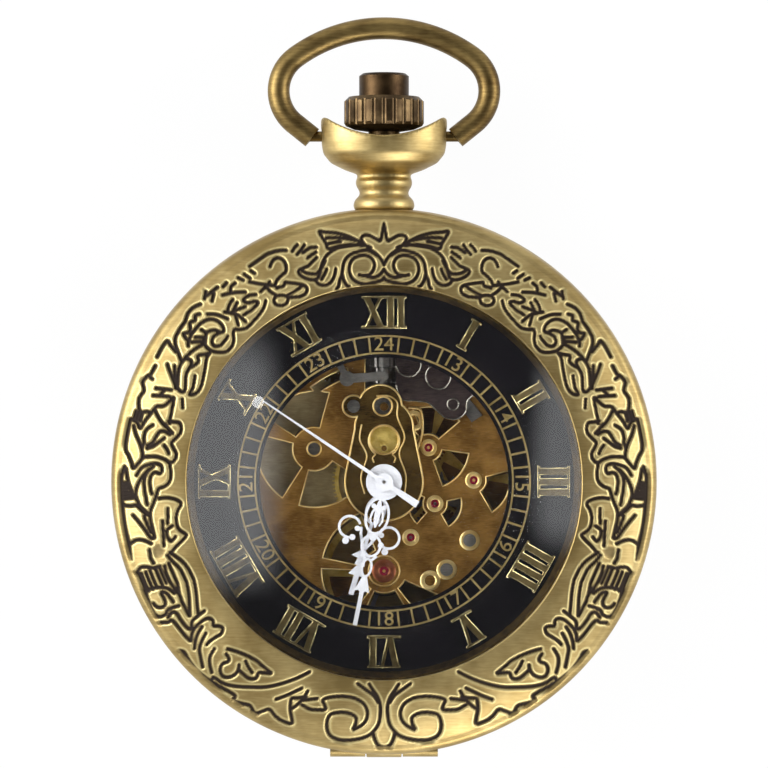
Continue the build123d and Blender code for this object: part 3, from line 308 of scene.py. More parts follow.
def named(name, body, material):
    """Names the object just made, gives it its finish and its body."""
    piece = bpy.context.object
    piece.name = name
    piece.data.name = name
    piece.data.materials.clear()
    piece.data.materials.append(material)
    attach(piece, body)
    return piece


def only_select(piece):
    clear_selection()
    bpy.context.view_layer.objects.active = piece
    piece.select_set(True)


def placed(name, data):
    """A new object for a mesh or a curve, made the active one."""
    made = bpy.data.objects.new(name, data)
    bpy.context.collection.objects.link(made)
    only_select(made)
    return made


def mesh_from(name, points, edges=(), faces=()):
    """A mesh object from its points, edges and faces, made the active object."""
    mesh = bpy.data.meshes.new(name)
    mesh.from_pydata(points, edges, faces)
    return placed(name, mesh)


def join_all(parts):
    """Joins several new objects into the first of them."""
    clear_selection()
    for part in parts:
        part.select_set(True)
    bpy.context.view_layer.objects.active = parts[0]
    if len(parts) > 1:
        bpy.ops.object.join()


def spun(name, profile, steps):
    """Turns a closed outline of (radius, height) points about Z into a ring."""
    count = len(profile)
    points = [(radius * MM, 0, height * MM) for radius, height in profile]
    edges = [(index, (index + 1) % count) for index in range(count)]
    made = mesh_from(name, points, edges)
    bpy.ops.object.mode_set(mode="EDIT")
    bpy.ops.mesh.select_all(action="SELECT")
    bpy.ops.mesh.spin(steps=steps, angle=2 * math.pi, center=(0, 0, 0), axis=(0, 0, 1))
    bpy.ops.mesh.select_all(action="SELECT")
    bpy.ops.mesh.remove_doubles(threshold=weld)
    bpy.ops.mesh.normals_make_consistent(inside=False)
    bpy.ops.object.mode_set(mode="OBJECT")
    return made


def apply_all(piece):
    """Applies a piece's modifiers, from the first to the last."""
    only_select(piece)
    for modifier in list(piece.modifiers):
        bpy.ops.object.modifier_apply(modifier=modifier.name)


def thickened(made, thickness):
    """Turns a flat shape's face up and gives it a thickness in millimetres."""
    if made.data.polygons[0].normal.z < 0:
        made.data.flip_normals()
    solid = made.modifiers.new("thickness", "SOLIDIFY")
    solid.thickness = thickness * MM
    solid.offset = 1
    apply_all(made)


def clock_point(radius, degrees):
    """A place on the dial: radius in millimetres, degrees clockwise from twelve."""
    angle = math.radians(degrees)
    return (radius * math.sin(angle), radius * math.cos(angle))


# ---------------------------------------------------------------- engraving of the cover
# Each stroke is a run of (degrees clockwise from twelve, radius in millimetres) on the right
# half of the ring. The left half is its mirror image.
crest_strokes = [
    [(0, 22), (0.4, 21.2), (0.9, 20.55), (2, 20.75), (3.5, 21.05), (4.8, 21.05), (5.3, 20.8),
     (4.6, 20.3), (3.2, 19.8), (1.8, 19.4), (0.8, 19), (0, 18.5)],
    [(5.6, 20.5), (8, 21.1), (10.5, 21.55), (13, 21.85), (14.4, 22.05), (14.2, 21.6), (13.6, 20.9),
     (13.2, 20.4), (10, 20.45), (7, 20.35), (5.2, 20.2)],
    [(6.5, 20.7), (9, 21), (11, 21.2), (13.2, 21.35)],
    [(10.2, 20.8), (13.2, 20.85)],
    [(3.2, 20), (5, 20.25), (8, 20.3), (11, 20.3), (13, 20.1), (14.5, 19.8), (16, 19.2), (17, 18.6),
     (18.2, 18.2), (19.8, 18.3), (21.3, 18.7), (22, 19.1), (21.9, 19.4), (20.6, 19.45), (19.2, 19.5),
     (18, 19.7), (16.6, 19.95)],
    [(1.8, 19.3), (4, 19.75), (7, 19.7), (9, 19.45), (10.3, 19), (11, 18.4), (11.6, 17.9), (12.3, 17.6),
     (13, 17.1), (13.8, 16.9)],
    [(11.3, 18.1), (11.2, 17.5), (10.6, 17), (10, 16.9)],
    [(6.8, 17.75), (5.5, 17.65), (4, 17.7), (3, 18), (2.5, 18.5), (3, 19), (4.2, 19.3), (6, 19.35),
     (7.7, 19.2), (8.8, 18.8), (9.3, 18.2), (8.9, 17.6), (7.8, 17.2), (6, 16.95), (4, 16.95), (2, 17.05),
     (0.5, 17.2), (0, 17.4)],
    [(0, 18.1), (0.8, 17.75), (2, 17.5), (3.5, 17.45), (5, 17.6)],
    [(12.7, 18.6), (13.2, 18.2), (14.2, 17.75), (15.5, 17.5), (17, 17.5), (18.2, 17.75), (18.6, 18.1)],
    [(15, 18.75), (16, 18.35), (17, 18.05)],
    [(14.8, 19.5), (16.3, 18.95), (18, 18.65), (20, 18.9), (21, 19.25)],
    [(16, 20.8), (17.5, 20.9), (19.4, 20.7)],
    [(16.4, 20.4), (17.5, 20.3), (18.8, 20.15)],
    [(18.5, 21.3), (19.6, 21), (20.8, 20.75)],
    [(20, 21.5), (20.9, 21.35), (21.6, 21.15)],
]
upper_strokes = [
    [(22.8, 21.4), (24.5, 21.65), (27, 21.8), (29.5, 21.7), (31.8, 21.65)],
    [(27.8, 20.75), (27, 21), (26, 21.15), (25, 21.05), (24.3, 20.7), (24.3, 20.2), (25, 19.75),
     (26.5, 19.6), (28, 19.4), (29, 19.15), (30.5, 19.5), (32, 19.9), (33.8, 20.5)],
    [(29.6, 19.6), (31.2, 19.4), (32.8, 19.3)],
    [(31, 19.4), (30.6, 18.8), (29.9, 18.35)],
    [(28.8, 18.85), (27, 18.75), (26.3, 18.95), (25.5, 18.8), (23.5, 18.4), (22, 18.05), (21.6, 17.7),
     (22.3, 17.4), (24, 17.3), (26, 17.5), (27.3, 17.6), (28.5, 17.3), (30, 17.35), (31.2, 17.7),
     (31, 18.1), (29.8, 18.25), (28.3, 18.05), (27.3, 17.75)],
    [(22.5, 18.1), (24, 17.95), (26, 17.9), (27.5, 17.9)],
    [(31.7, 20.9), (32.1, 21.25)],
    [(33.2, 20.75), (33.8, 21.3)],
    [(34.8, 20.95), (35.4, 21.35)],
    [(36, 20), (38.5, 20.6), (40.7, 21)],
    [(36.7, 21.15), (38, 21.1), (38.8, 20.8)],
    [(38.2, 21.6), (39.4, 21.55)],
    [(40.4, 21.8), (42, 21.85), (43.5, 21.9)],
    [(43, 22.2), (44.3, 21.85)],
    [(42, 21.6), (43.4, 21.25)],
    [(34.2, 19.3), (36, 19.6), (37.6, 19.55), (37, 19.1), (35.5, 18.9), (35, 18.6), (37.5, 18.45),
     (39.8, 18.55)],
    [(39.5, 20.15), (41, 20), (42.3, 19.7)],
    [(39.2, 19.7), (40.6, 19.5), (42, 19.3)],
    [(38.2, 19), (39.5, 19.15), (40.8, 19.3)],
    [(43, 19.8), (41.8, 19.3), (41, 18.8), (40.6, 18)],
    [(41.5, 19), (42.7, 18.2)],
    [(46.3, 20.7), (44.8, 20.1), (43.6, 19.2)],
    [(33, 18.4), (34.5, 18), (36.5, 17.75), (39, 17.6), (41.5, 17.55), (43.3, 17.85), (44.2, 18.15),
     (45.2, 18), (46.5, 17.55), (48.3, 17.3), (50.3, 17.4), (51.8, 17.9), (52.6, 18.5), (52.4, 19.1),
     (51.5, 19.35), (50, 19.7)],
    [(46.8, 18.15), (48, 18.1), (49.8, 18.1), (51, 18.4), (50.8, 18.8), (49.8, 19), (48.8, 19),
     (47.6, 18.85), (46.6, 18.7), (45.8, 19.1), (45.8, 19.7), (46.6, 20.2), (48, 20.5), (50, 20.65),
     (52.5, 20.6), (54.3, 20.45), (55, 20.25)],
    [(47.5, 19), (48, 19.35), (49.3, 19.65), (50.6, 19.6), (52.5, 19.3)],
    [(50, 20.2), (49.8, 19.7)],
    [(52.3, 20.2), (50.8, 19.5)],
    [(53.8, 20.2), (51.8, 19.4)],
    [(47.5, 21.2), (48.5, 21.4), (49.3, 21.15), (50.5, 21.35), (51.5, 21), (52.5, 20.95), (53.4, 21.2),
     (54, 20.7)],
    [(45.8, 21.75), (47.5, 22), (49.3, 22), (51, 21.75), (53, 21.7), (55, 21.6), (56.3, 21.3),
     (57.2, 20.9), (58, 20.5), (59, 20.05)],
    [(57.8, 20.9), (57.2, 21.6), (57, 22.05), (61, 22.05)],
]
side_strokes = [
    [(52.5, 19.3), (54.5, 19.6), (57, 19.85), (60, 19.95), (62, 19.75), (64, 19.45), (65.5, 19.25)],
    [(57.8, 19.8), (57.7, 19.3), (59.5, 19.15), (61.5, 19.1), (63.5, 18.8), (65.2, 18.6), (65.8, 18.85),
     (65.4, 19.2)],
    [(53.3, 18.4), (54.5, 18.75), (55.7, 19.1), (56.7, 18.8), (57.8, 18.85), (59, 19.05)],
    [(53, 18.45), (55, 18.35), (57, 18.05), (59, 17.8), (61, 17.6), (63, 17.5), (64.8, 17.7),
     (65.5, 18.1), (63.5, 18.1), (61.8, 18.25), (60.5, 18.4)],
    [(60.8, 20.35), (62.5, 20), (64, 19.7), (65.6, 19.4)],
    [(61.3, 20.95), (62.7, 20.4), (64.2, 19.8), (65.5, 19.3)],
    [(67.5, 20.95), (66.4, 19.65)],
    [(69.3, 20.95), (68.1, 19.6)],
    [(67.2, 20.2), (68.6, 20.4)],
    [(67.5, 18.5), (69.5, 18.2)],
    [(62.9, 21.8), (65, 21.85), (66, 22.1), (67.5, 22.2), (69, 21.85), (71, 22), (72.8, 21.8),
     (73.8, 21.5), (73.3, 21), (73.1, 20.6), (71.5, 20.35), (70.8, 19.8), (69.5, 19.5), (68, 19.3)],
    [(65.5, 22), (65.9, 21.55)],
    [(68, 19.2), (70, 19.05), (72.5, 18.95), (74.5, 18.85)],
    [(72.3, 20.4), (73.5, 20), (74.8, 19.5), (75.5, 19.1)],
    [(75.9, 22.2), (76.3, 21.6), (77.4, 21.2), (75.5, 20.95), (73.3, 20.6)],
    [(76, 22.2), (79, 22.2), (82.5, 22.15), (84, 21.8), (85.5, 21.5), (86.7, 21.3), (85.3, 20.85),
     (84, 20.5), (83.6, 19.9), (83.5, 19.3), (84, 18.6), (84.8, 18.25)],
    [(77.2, 21.8), (79, 21.45), (80.8, 21), (82.5, 20.7), (84, 20.6)],
    [(76, 20.2), (77.2, 20.6), (78.8, 20.75), (80.5, 20.65), (82, 20.75)],
    [(77.2, 18.6), (76.8, 19.1), (77.2, 19.5), (78.5, 19.7), (80, 19.9), (81, 20.3)],
    [(78.5, 19), (79.8, 19.4), (81, 19.8), (81.7, 20.3)],
    [(80.3, 18.9), (81.2, 18.6), (82.2, 18.4)],
    [(75, 19.2), (76, 18.8), (76.8, 18.4)],
    [(74, 19), (73.8, 18.5), (73.6, 18.1), (74.4, 17.85), (76, 17.75), (77.5, 17.95), (79.3, 18.3),
     (80.5, 18.1), (81.8, 17.8), (83, 17.75), (84.2, 17.95), (84.7, 18.2), (86, 18.15), (88, 18.05),
     (89.8, 18.2), (90.9, 18.6), (91.5, 19.1), (93, 19.3), (95, 19.6), (97, 19.95), (99, 20.05),
     (101.5, 20), (103.5, 20)],
    [(88.3, 21), (86.5, 20.6), (85.6, 20), (85.2, 19.4), (85.6, 18.95), (86.8, 18.85), (87.6, 19),
     (87.4, 19.4), (88, 19.7), (89.5, 19.85), (91.5, 19.8), (92.7, 19.7)],
    [(86.8, 20), (88.5, 20.5), (90.5, 20.9), (92.5, 21.1), (94, 21), (95.5, 20.8), (96.8, 20.4),
     (98, 20.1)],
    [(86, 19.6), (87.5, 20.1), (89.5, 20.35), (92, 20.3), (95.3, 20.15)],
    [(86.5, 22.1), (88.5, 22.3), (91, 22.35), (94, 22.35), (95, 22.15), (95.3, 21.6), (95.3, 21.1),
     (96.5, 20.7), (97.7, 20.3)],
    [(87, 21.95), (89.5, 21.75), (91.5, 21.5), (93, 21.3), (94, 21)],
    [(95, 22.3), (99, 22.35), (103, 22.3), (105, 22.4), (107, 22.55)],
    [(97.4, 21.5), (99, 21.1), (101, 20.7), (103.2, 20.35), (103.6, 20.1)],
    [(98, 20.55), (100, 20.4), (102, 20.2)],
    [(103.6, 22.2), (103.1, 21.6), (103.5, 21), (104.7, 20.4)],
    [(94, 19.1), (93.9, 18.5), (94.4, 17.8), (95.3, 17.35), (96.2, 17.3), (97.5, 17.6), (99.5, 17.85),
     (101.5, 17.9), (103, 17.75), (104.3, 17.4), (105, 17.35), (106, 17.8), (107, 18.4), (108, 18.9)],
    [(99.8, 19.05), (102, 19.15), (104.5, 19.3), (106, 19.4)],
    [(96.8, 18.45), (98.5, 18.5), (100.6, 18.65)],
    [(101.5, 18.3), (102.3, 18.8), (104, 18.9), (105.3, 18.7), (104.5, 18.25)],
    [(106, 20.7), (108, 20.8), (109.3, 20.7)],
]
lower_strokes = [
    [(109.9, 22.3), (109.3, 21.9), (109.6, 21.4), (110.3, 20.9), (110.5, 20.3)],
    [(114.5, 22.3), (114.6, 21.6), (115.2, 20.9), (116.2, 20.4), (117.8, 20.1)],
    [(109.9, 22.3), (112, 22.2), (114.5, 22.3), (116.5, 22.45), (118, 22.5), (120, 22.5), (121, 22.2),
     (121.1, 21.7), (120.5, 21.3), (120.7, 20.7), (121, 20.3)],
    [(110.8, 19.9), (113, 20), (116, 19.95), (118, 19.85)],
    [(110.5, 19.5), (113, 19.45), (116, 19.5), (118.5, 19.75), (121, 19.9), (124.3, 20)],
    [(108.5, 19.35), (110.5, 19.1), (112.5, 18.8), (115, 18.7), (117.5, 18.8), (120, 19.1), (122, 19.45),
     (124.4, 19.95)],
    [(108, 19.1), (109.5, 18.7), (111.5, 18.3), (114, 18.1), (117, 18.1), (120, 18.4), (122.5, 18.8),
     (125.3, 19.3)],
    [(117.7, 22.15), (118.8, 22), (119.4, 21.6), (119, 21.25), (117.8, 21.1), (116.3, 21.1),
     (116.8, 20.75), (118.2, 20.6), (119.5, 20.55)],
    [(122.2, 22.4), (122.9, 21.9), (123.2, 21.45), (125.5, 21.35), (128, 21.3), (129.3, 21.2),
     (128.3, 20.8), (127.6, 20.3), (127.3, 19.7), (127.3, 19.1), (127.9, 18.7), (129, 18.65),
     (130, 18.85), (131, 18.5), (132, 18.4), (132.8, 18.8), (132.5, 19.4), (132.3, 20), (132.4, 20.35)],
    [(122, 21.6), (121.5, 21.1), (122.3, 20.8), (124, 20.8), (126.5, 20.75), (127, 20.5), (125.9, 20.1),
     (125.6, 19.5), (125.5, 18.7)],
    [(131.2, 21.4), (130, 20.9), (129, 20.3), (128.4, 19.7)],
    [(135.5, 22), (133.5, 21.5), (132, 21.1), (131, 20.5), (130.2, 19.8)],
    [(137.8, 21.8), (136.2, 21.4), (135, 20.9), (134.4, 20.15)],
    [(129.5, 22.55), (130.4, 22.3), (132, 22.45), (135, 22.6), (138, 22.5), (141, 22.3), (144.9, 22.1),
     (145.2, 22.6), (147, 22.4), (149, 22.15), (150.8, 22.5), (152, 22.05), (153.2, 21.6), (155, 21.9),
     (157, 22.05), (159, 21.95), (158.6, 21.5), (157.6, 20.9), (157, 20.3), (156.9, 19.9), (158.5, 19.6),
     (160, 19.3)],
    [(157.9, 20.7), (158.7, 20.2), (159.5, 19.5), (159.9, 18.8)],
    [(159.5, 19.7), (161.5, 19.35), (162.8, 19.15)],
    [(153.5, 20.55), (155.5, 19.8), (157, 19.2), (158.2, 18.75)],
    [(138.8, 22.2), (139, 22), (141.5, 21.85), (144, 21.4), (147, 20.7), (150, 20), (153, 19.1),
     (156, 18.1), (158.5, 17.2)],
    [(137.3, 19.75), (138.6, 19.9), (138.9, 20.15), (138.3, 20.6), (138.7, 21.1), (140, 21.4),
     (141.3, 21.2), (142.1, 20.7), (142.1, 20.15), (141.5, 19.75)],
    [(142, 20.1), (143.5, 20.15), (145.5, 20.15), (146.8, 19.8), (146.6, 19.3), (148, 19),
     (149.3, 18.75), (147, 18.65), (144.5, 18.55), (142, 18.65), (139.5, 18.9), (137.8, 19.15),
     (136.7, 19.35)],
    [(142.2, 19.15), (143.6, 19.4), (145.2, 19.6)],
    [(159.8, 20.1), (162, 20.2), (164, 20.05), (165.5, 19.85), (165, 19.5), (164.3, 19.2), (165, 18.9),
     (167, 18.6), (169.5, 18.4), (172, 18.4), (174.5, 18.75), (175.8, 19.4), (175.8, 20.1), (175, 20.6),
     (174, 20.9), (172.9, 21.1), (173.3, 20.6), (173.2, 20.1), (172.2, 19.85), (170.5, 19.75),
     (168.5, 19.9), (167, 20.2), (166.6, 20.8), (167, 21.5), (168, 22), (169.8, 22.2), (172, 22.15),
     (174.5, 21.9), (176.3, 21.6), (177.5, 21.2), (178.7, 20.5), (179.1, 19.6), (179, 18.8),
     (178.2, 18.1), (177, 17.6), (175.8, 17.1)],
    [(177.5, 21.3), (178, 21.9), (178.8, 22.4), (180.2, 22.6)],
    [(178.4, 18.6), (177, 18), (174.5, 17.5), (172.5, 17.15)],
]


def hatches():
    """The short parallel cuts that shade the wings and the stems."""
    strokes = []
    for radius in (21.35, 21.65, 21.95):
        strokes.append([(73.9, radius), (75.8, radius)])
    for radius in (20.35, 20.72, 21.22, 21.62, 22.05):
        strokes.append([(110.6, radius), (114.8, radius)])
    for index in range(6):
        degrees = 90 + 0.7 * index
        strokes.append([(degrees, 21.75 - 0.08 * index), (degrees + 0.2, 22.3)])
    return strokes


ring_low_r, ring_high_r = 16.6, 22.8     # band of the distance field, in millimetres
cell_degrees, cell_mm = 0.1, 0.04        # size of its cells
past_ends = 2                            # degrees that it reaches past twelve and past six
far_off = 9.0                            # distance given to a place with no stroke near
stroke_reach = 1.0                       # distance worked out on each side of a stroke
least_r = 17                             # radius at which that reach spans the most degrees
groove_half, groove_depth = 0.19, 0.19
# The rim beside each groove: rim_rise lifts it a little, and the shader paints a highlight on it.
rim_distance, rim_half, rim_rise = 0.27, 0.07, 0.02
rosette_degrees, rosette_r, rosette_half = 107, 19.95, 0.6
rosette_depth = 0.12
border_line_r, border_line_half, border_line_depth = 22.42, 0.09, 0.05
engraved_from, engraved_to = 16.8, 22.75
hinge_relief_r, hinge_relief_x = 0.85, 4.75


def smooth_run(points, pieces=6):
    """A Catmull-Rom run through the stroke's points, in degrees and millimetres."""
    if len(points) < 3:
        return points
    ends = [points[0]] + list(points) + [points[-1]]
    run = []
    for index in range(len(points) - 1):
        before, start, end, after = (np.array(point, float) for point in ends[index:index + 4])
        for step in range(pieces):
            t = step / pieces
            run.append(tuple(0.5 * (
                2 * start + (end - before) * t + (2 * before - 5 * start + 4 * end - after) * t ** 2
                + (3 * start - before - 3 * end + after) * t ** 3)))
    return run + [tuple(points[-1])]


def stroke_distance():
    """Distance of each cell of the half ring from the nearest stroke, in millimetres."""
    across = int((180 + 2 * past_ends) / cell_degrees)
    up = int((ring_high_r - ring_low_r) / cell_mm) + 1
    field = np.full((across, up), far_off)
    pad_deg = math.degrees(stroke_reach / least_r)
    strokes = crest_strokes + upper_strokes + side_strokes + lower_strokes + hatches()
    for stroke in strokes:
        run = smooth_run(stroke)
        for (deg_a, r_a), (deg_b, r_b) in zip(run, run[1:]):
            low = max(int((min(deg_a, deg_b) - pad_deg + past_ends) / cell_degrees), 0)
            high = min(int((max(deg_a, deg_b) + pad_deg + past_ends) / cell_degrees) + 1, across)
            bottom = max(int((min(r_a, r_b) - stroke_reach - ring_low_r) / cell_mm), 0)
            top = min(int((max(r_a, r_b) + stroke_reach - ring_low_r) / cell_mm) + 1, up)
            degrees = np.arange(low, high)[:, None] * cell_degrees - past_ends
            radius = ring_low_r + np.arange(bottom, top)[None, :] * cell_mm
            middle = math.radians((deg_a + deg_b) / 2)
            mean_r = (r_a + r_b) / 2
            x = (np.radians(degrees) - middle) * mean_r
            along = np.array([math.radians(deg_b - deg_a) * mean_r, r_b - r_a])
            start = np.array([(math.radians(deg_a) - middle) * mean_r, r_a])
            length = max(float(along @ along), 1e-9)
            share = ((x - start[0]) * along[0] + (radius - start[1]) * along[1]) / length
            share = np.clip(share, 0, 1)
            gap = np.hypot(x - start[0] - share * along[0], radius - start[1] - share * along[1])
            window = field[low:high, bottom:top]
            np.minimum(window, gap, out=window)
    return field


def sample(field, degrees, radius):
    """Reads the distance field at each place, the left half as a mirror of the right."""
    folded = np.where(degrees > 180, 360 - degrees, degrees)
    column = np.clip((folded + past_ends) / cell_degrees, 0, field.shape[0] - 1.001)
    row = np.clip((radius - ring_low_r) / cell_mm, 0, field.shape[1] - 1.001)
    left, low = column.astype(int), row.astype(int)
    u, v = column - left, row - low
    lower = field[left, low] * (1 - u) + field[left + 1, low] * u
    upper = field[left, low + 1] * (1 - u) + field[left + 1, low + 1] * u
    return lower * (1 - v) + upper * v


lid_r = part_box("cover_ring")[1][0] / MM
lid_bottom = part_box("lens_retainer")[0][2] / MM - 0.4
lid_top = lid_bottom + 2.9
inner_r = lid_r - 6.45
flange_r = inner_r + 0.6
flange_top = lid_bottom + 1.95
border_r = lid_r - 0.8
dome_cells = 54


def hinge_axis():
    """Where the hinge pin's axis lies, as (y, z) in metres."""
    low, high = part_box("hinge_pin")
    return (low[1] + high[1]) / 2, (low[2] + high[2]) / 2


def top_arc():
    """Start, middle and end of the cover's domed upper face, as (radius, height)."""
    return (inner_r, lid_top), ((inner_r + border_r) / 2, lid_top - 0.55), (border_r, lid_top - 1.75)


def cover_outline():
    """The cover's closed outline; its top follows the arc that the ring's frame has."""
    top = arc_points(*top_arc(), dome_cells)
    edge = arc_points((border_r, lid_top - 1.75), (lid_r - 0.15, lid_bottom + 0.75), (lid_r, lid_bottom), 6)
    under = [
        (lid_r - 1.3, lid_bottom), (lid_r - 1.3, lid_bottom + 0.45), (flange_r + 0.95, lid_top - 1.2),
        (flange_r + 0.95, lid_bottom + 0.3), (flange_r, lid_bottom + 0.3), (flange_r, flange_top),
        (inner_r, flange_top)]
    return top + edge[1:] + under


def arc_points(start, middle, end, count):
    """Points along the circle through three (radius, height) places."""
    (ax, ay), (bx, by), (cx, cy) = start, middle, end
    d = 2 * (ax * (by - cy) + bx * (cy - ay) + cx * (ay - by))
    a2, b2, c2 = ax * ax + ay * ay, bx * bx + by * by, cx * cx + cy * cy
    ux = (a2 * (by - cy) + b2 * (cy - ay) + c2 * (ay - by)) / d
    uy = (a2 * (cx - bx) + b2 * (ax - cx) + c2 * (bx - ax)) / d
    radius = math.hypot(ax - ux, ay - uy)
    from_angle, to_angle = math.atan2(ay - uy, ax - ux), math.atan2(cy - uy, cx - ux)
    angles = np.linspace(from_angle, to_angle, count + 1)
    return [(ux + radius * math.cos(a), uy + radius * math.sin(a)) for a in angles]


def clear_hinge(places):
    """Lifts the ring's underside off the hinge's knuckles."""
    axis_y, axis_z = hinge_axis()
    off_y, off_z = places[:, 1] - axis_y, places[:, 2] - axis_z
    relief_r = hinge_relief_r * MM
    near = (np.abs(places[:, 0]) < hinge_relief_x * MM) & (np.hypot(off_y, off_z) < relief_r)
    places[near, 2] = axis_z + np.sqrt(np.maximum(relief_r ** 2 - off_y[near] ** 2, 0))


def engraved_cover():
    """The cover ring with its engraving cut into the upper face."""
    piece = spun("engraved_cover", cover_outline(), 1400)
    mesh = piece.data
    places = np.empty(len(mesh.vertices) * 3)
    mesh.vertices.foreach_get("co", places)
    places = places.reshape(-1, 3)
    x, y, z = places.T / MM
    radius = np.hypot(x, y)
    degrees = np.degrees(np.arctan2(x, y)) % 360
    arc_r, arc_z = np.array(arc_points(*top_arc(), dome_cells)).T
    on_top = (z > np.interp(radius, arc_r, arc_z) - 0.05) & (radius < engraved_to)
    in_band = on_top & (radius > engraved_from)
    gap = np.where(in_band, sample(stroke_distance(), degrees, radius), far_off)
    groove = np.clip(1 - (gap / groove_half) ** 2, 0, 1)
    rim_bulge_and_highlight = np.exp(-((gap - rim_distance) / rim_half) ** 2)
    folded = np.where(degrees > 180, 360 - degrees, degrees)
    rosette = np.hypot(radius - rosette_r, np.radians(folded - rosette_degrees) * rosette_r)
    pit = np.clip(1 - (rosette / rosette_half) ** 4, 0, 1) * on_top
    step = np.exp(-((radius - border_line_r) / border_line_half) ** 2) * on_top * 0.5
    sunk = groove_depth * groove
    places[:, 2] += (rim_rise * rim_bulge_and_highlight - sunk - rosette_depth * pit - border_line_depth * step) * MM
    clear_hinge(places)
    mesh.vertices.foreach_set("co", places.ravel())
    patina = np.clip(groove * 1.6 + 0.12 * np.exp(-(gap / 0.5) ** 2) + pit * 0.5 + step * 0.3, 0, 1)
    # The relief attribute carries the rim mask on which the shader paints a highlight.
    for name, values in (("patina", patina), ("relief", rim_bulge_and_highlight)):
        layer = mesh.attributes.new(name, "FLOAT", "POINT")
        layer.data.foreach_set("value", values.astype(np.float32))
    bpy.ops.object.shade_smooth()
    mesh.update()
    cover = named("engraved_cover", "front_cover", finish["engraved_brass"])
    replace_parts(cover, "cover_ring")


def cover_knuckle():
    """The middle knuckle of the cover's hinge, a bevelled barrel round the pin."""
    y, z = hinge_axis()
    clear_selection()
    bpy.ops.mesh.primitive_cylinder_add(
        vertices=48, radius=0.74 * MM, depth=3.0 * MM, end_fill_type="NGON",
        location=(0, y, z), rotation=(0, math.radians(90), 0))
    bpy.ops.object.transform_apply(location=True, rotation=True, scale=True)
    bpy.ops.object.mode_set(mode="EDIT")
    bpy.ops.mesh.select_all(action="SELECT")
    bpy.ops.mesh.bevel(offset=0.08 * MM, segments=2, affect="EDGES")
    bpy.ops.object.mode_set(mode="OBJECT")
    bpy.ops.object.shade_smooth_by_angle(angle=math.radians(35))
    named("cover_knuckle", "front_cover", finish["aged_brass"])


engraved_cover()
cover_knuckle()


# ---------------------------------------------------------------- dial print
dial_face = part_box("dial_ring")[1][2]
dial_inner = 9.9
track_inner, track_outer = dial_inner + 0.3, dial_inner + 1.85
track_line, division_line = 0.15, 0.16
print_height = 0.03
figure_size = 1.62


def flat_ring(inner, outer):
    """Points and faces of a flat ring."""
    steps = 240
    points, faces = [], []
    for index in range(steps):
        degrees = 360 * index / steps
        points += [clock_point(inner, degrees), clock_point(outer, degrees)]
        following = (index + 1) % steps
        faces.append((2 * index, 2 * following, 2 * following + 1, 2 * index + 1))
    return points, faces


def flat_bar(low_r, high_r, degrees, width):
    """A radial bar of even width."""
    angle = math.radians(degrees)
    out = Vector((math.sin(angle), math.cos(angle)))
    side = Vector((out[1], -out[0])) * width / 2
    corners = [out * low_r - side, out * low_r + side, out * high_r + side, out * high_r - side]
    return [tuple(corner) for corner in corners]


def raised_print(name, points, faces):
    """Flat print on the dial, given its thickness."""
    made = mesh_from(name, [(x * MM, y * MM, dial_face) for x, y in points], (), faces)
    bpy.ops.object.mode_set(mode="EDIT")
    bpy.ops.mesh.select_all(action="SELECT")
    bpy.ops.mesh.normals_make_consistent(inside=False)
    bpy.ops.object.mode_set(mode="OBJECT")
    thickened(made, print_height)
    named(name, "case", finish["gold_print"])


def hour_track():
    """Two circles and the minute divisions between them, open at each hour."""
    points, faces = [], []
    for inner, outer in ((track_inner, track_inner + track_line), (track_outer - track_line, track_outer)):
        more_points, more_faces = flat_ring(inner, outer)
        faces += [tuple(corner + len(points) for corner in face) for face in more_faces]
        points += more_points
    for minute in range(60):
        if minute % 5 == 0:
            continue
        first = len(points)
        points += flat_bar(track_inner + 0.1, track_outer - 0.1, minute * 6, division_line)
        faces.append((first, first + 1, first + 2, first + 3))
    raised_print("hour_track", points, faces)


def track_figures():
    """The hours thirteen to twenty-four, those in the lower half turned the right way up to read."""
    made = []
    for hour in range(12):
        clear_selection()
        bpy.ops.object.text_add()
        words = bpy.context.object
        words.data.body = str(12 + hour) if hour else "24"
        words.data.align_x = "CENTER"
        words.data.align_y = "CENTER"
        words.data.size = figure_size * MM
        words.data.offset = 0.006 * MM
        words.data.extrude = print_height / 2 * MM
        words.data.resolution_u = 6
        bpy.ops.object.convert(target="MESH")
        x, y = clock_point((track_inner + track_outer) / 2, 30 * hour)
        turn = 30 * hour - (180 if 3 < hour < 9 else 0)
        words = bpy.context.object
        words.matrix_world = (
            Matrix.Translation((x * MM, y * MM, dial_face + print_height / 2 * MM))
            @ Matrix.Rotation(-math.radians(turn), 4, "Z"))
        bpy.ops.object.transform_apply(location=True, rotation=True, scale=True)
        made.append(words)
    join_all(made)
    named("track_figures", "case", finish["gold_print"])


hour_track()
track_figures()


# ---------------------------------------------------------------- hands
def circle_points(x, y, radius_x, radius_y=None, count=28):
    """Points round a circle, or round an oval when given a second radius."""
    radius_y = radius_y or radius_x
    angles = [2 * math.pi * index / count for index in range(count)]
    return [(x + radius_x * math.cos(angle), y + radius_y * math.sin(angle)) for angle in angles]


def strip_points(run, width, taper=1.0):
    """A curved strip along a run of points, its width tapering to the given share."""
    left, right = [], []
    for index, point in enumerate(run):
        before, after = run[max(index - 1, 0)], run[min(index + 1, len(run) - 1)]
        way = Vector((after[0] - before[0], after[1] - before[1])).normalized()
        half = width / 2 * (1 + (taper - 1) * index / (len(run) - 1))
        left.append((point[0] - way.y * half, point[1] + way.x * half))
        right.append((point[0] + way.y * half, point[1] - way.x * half))
    return left + right[::-1]


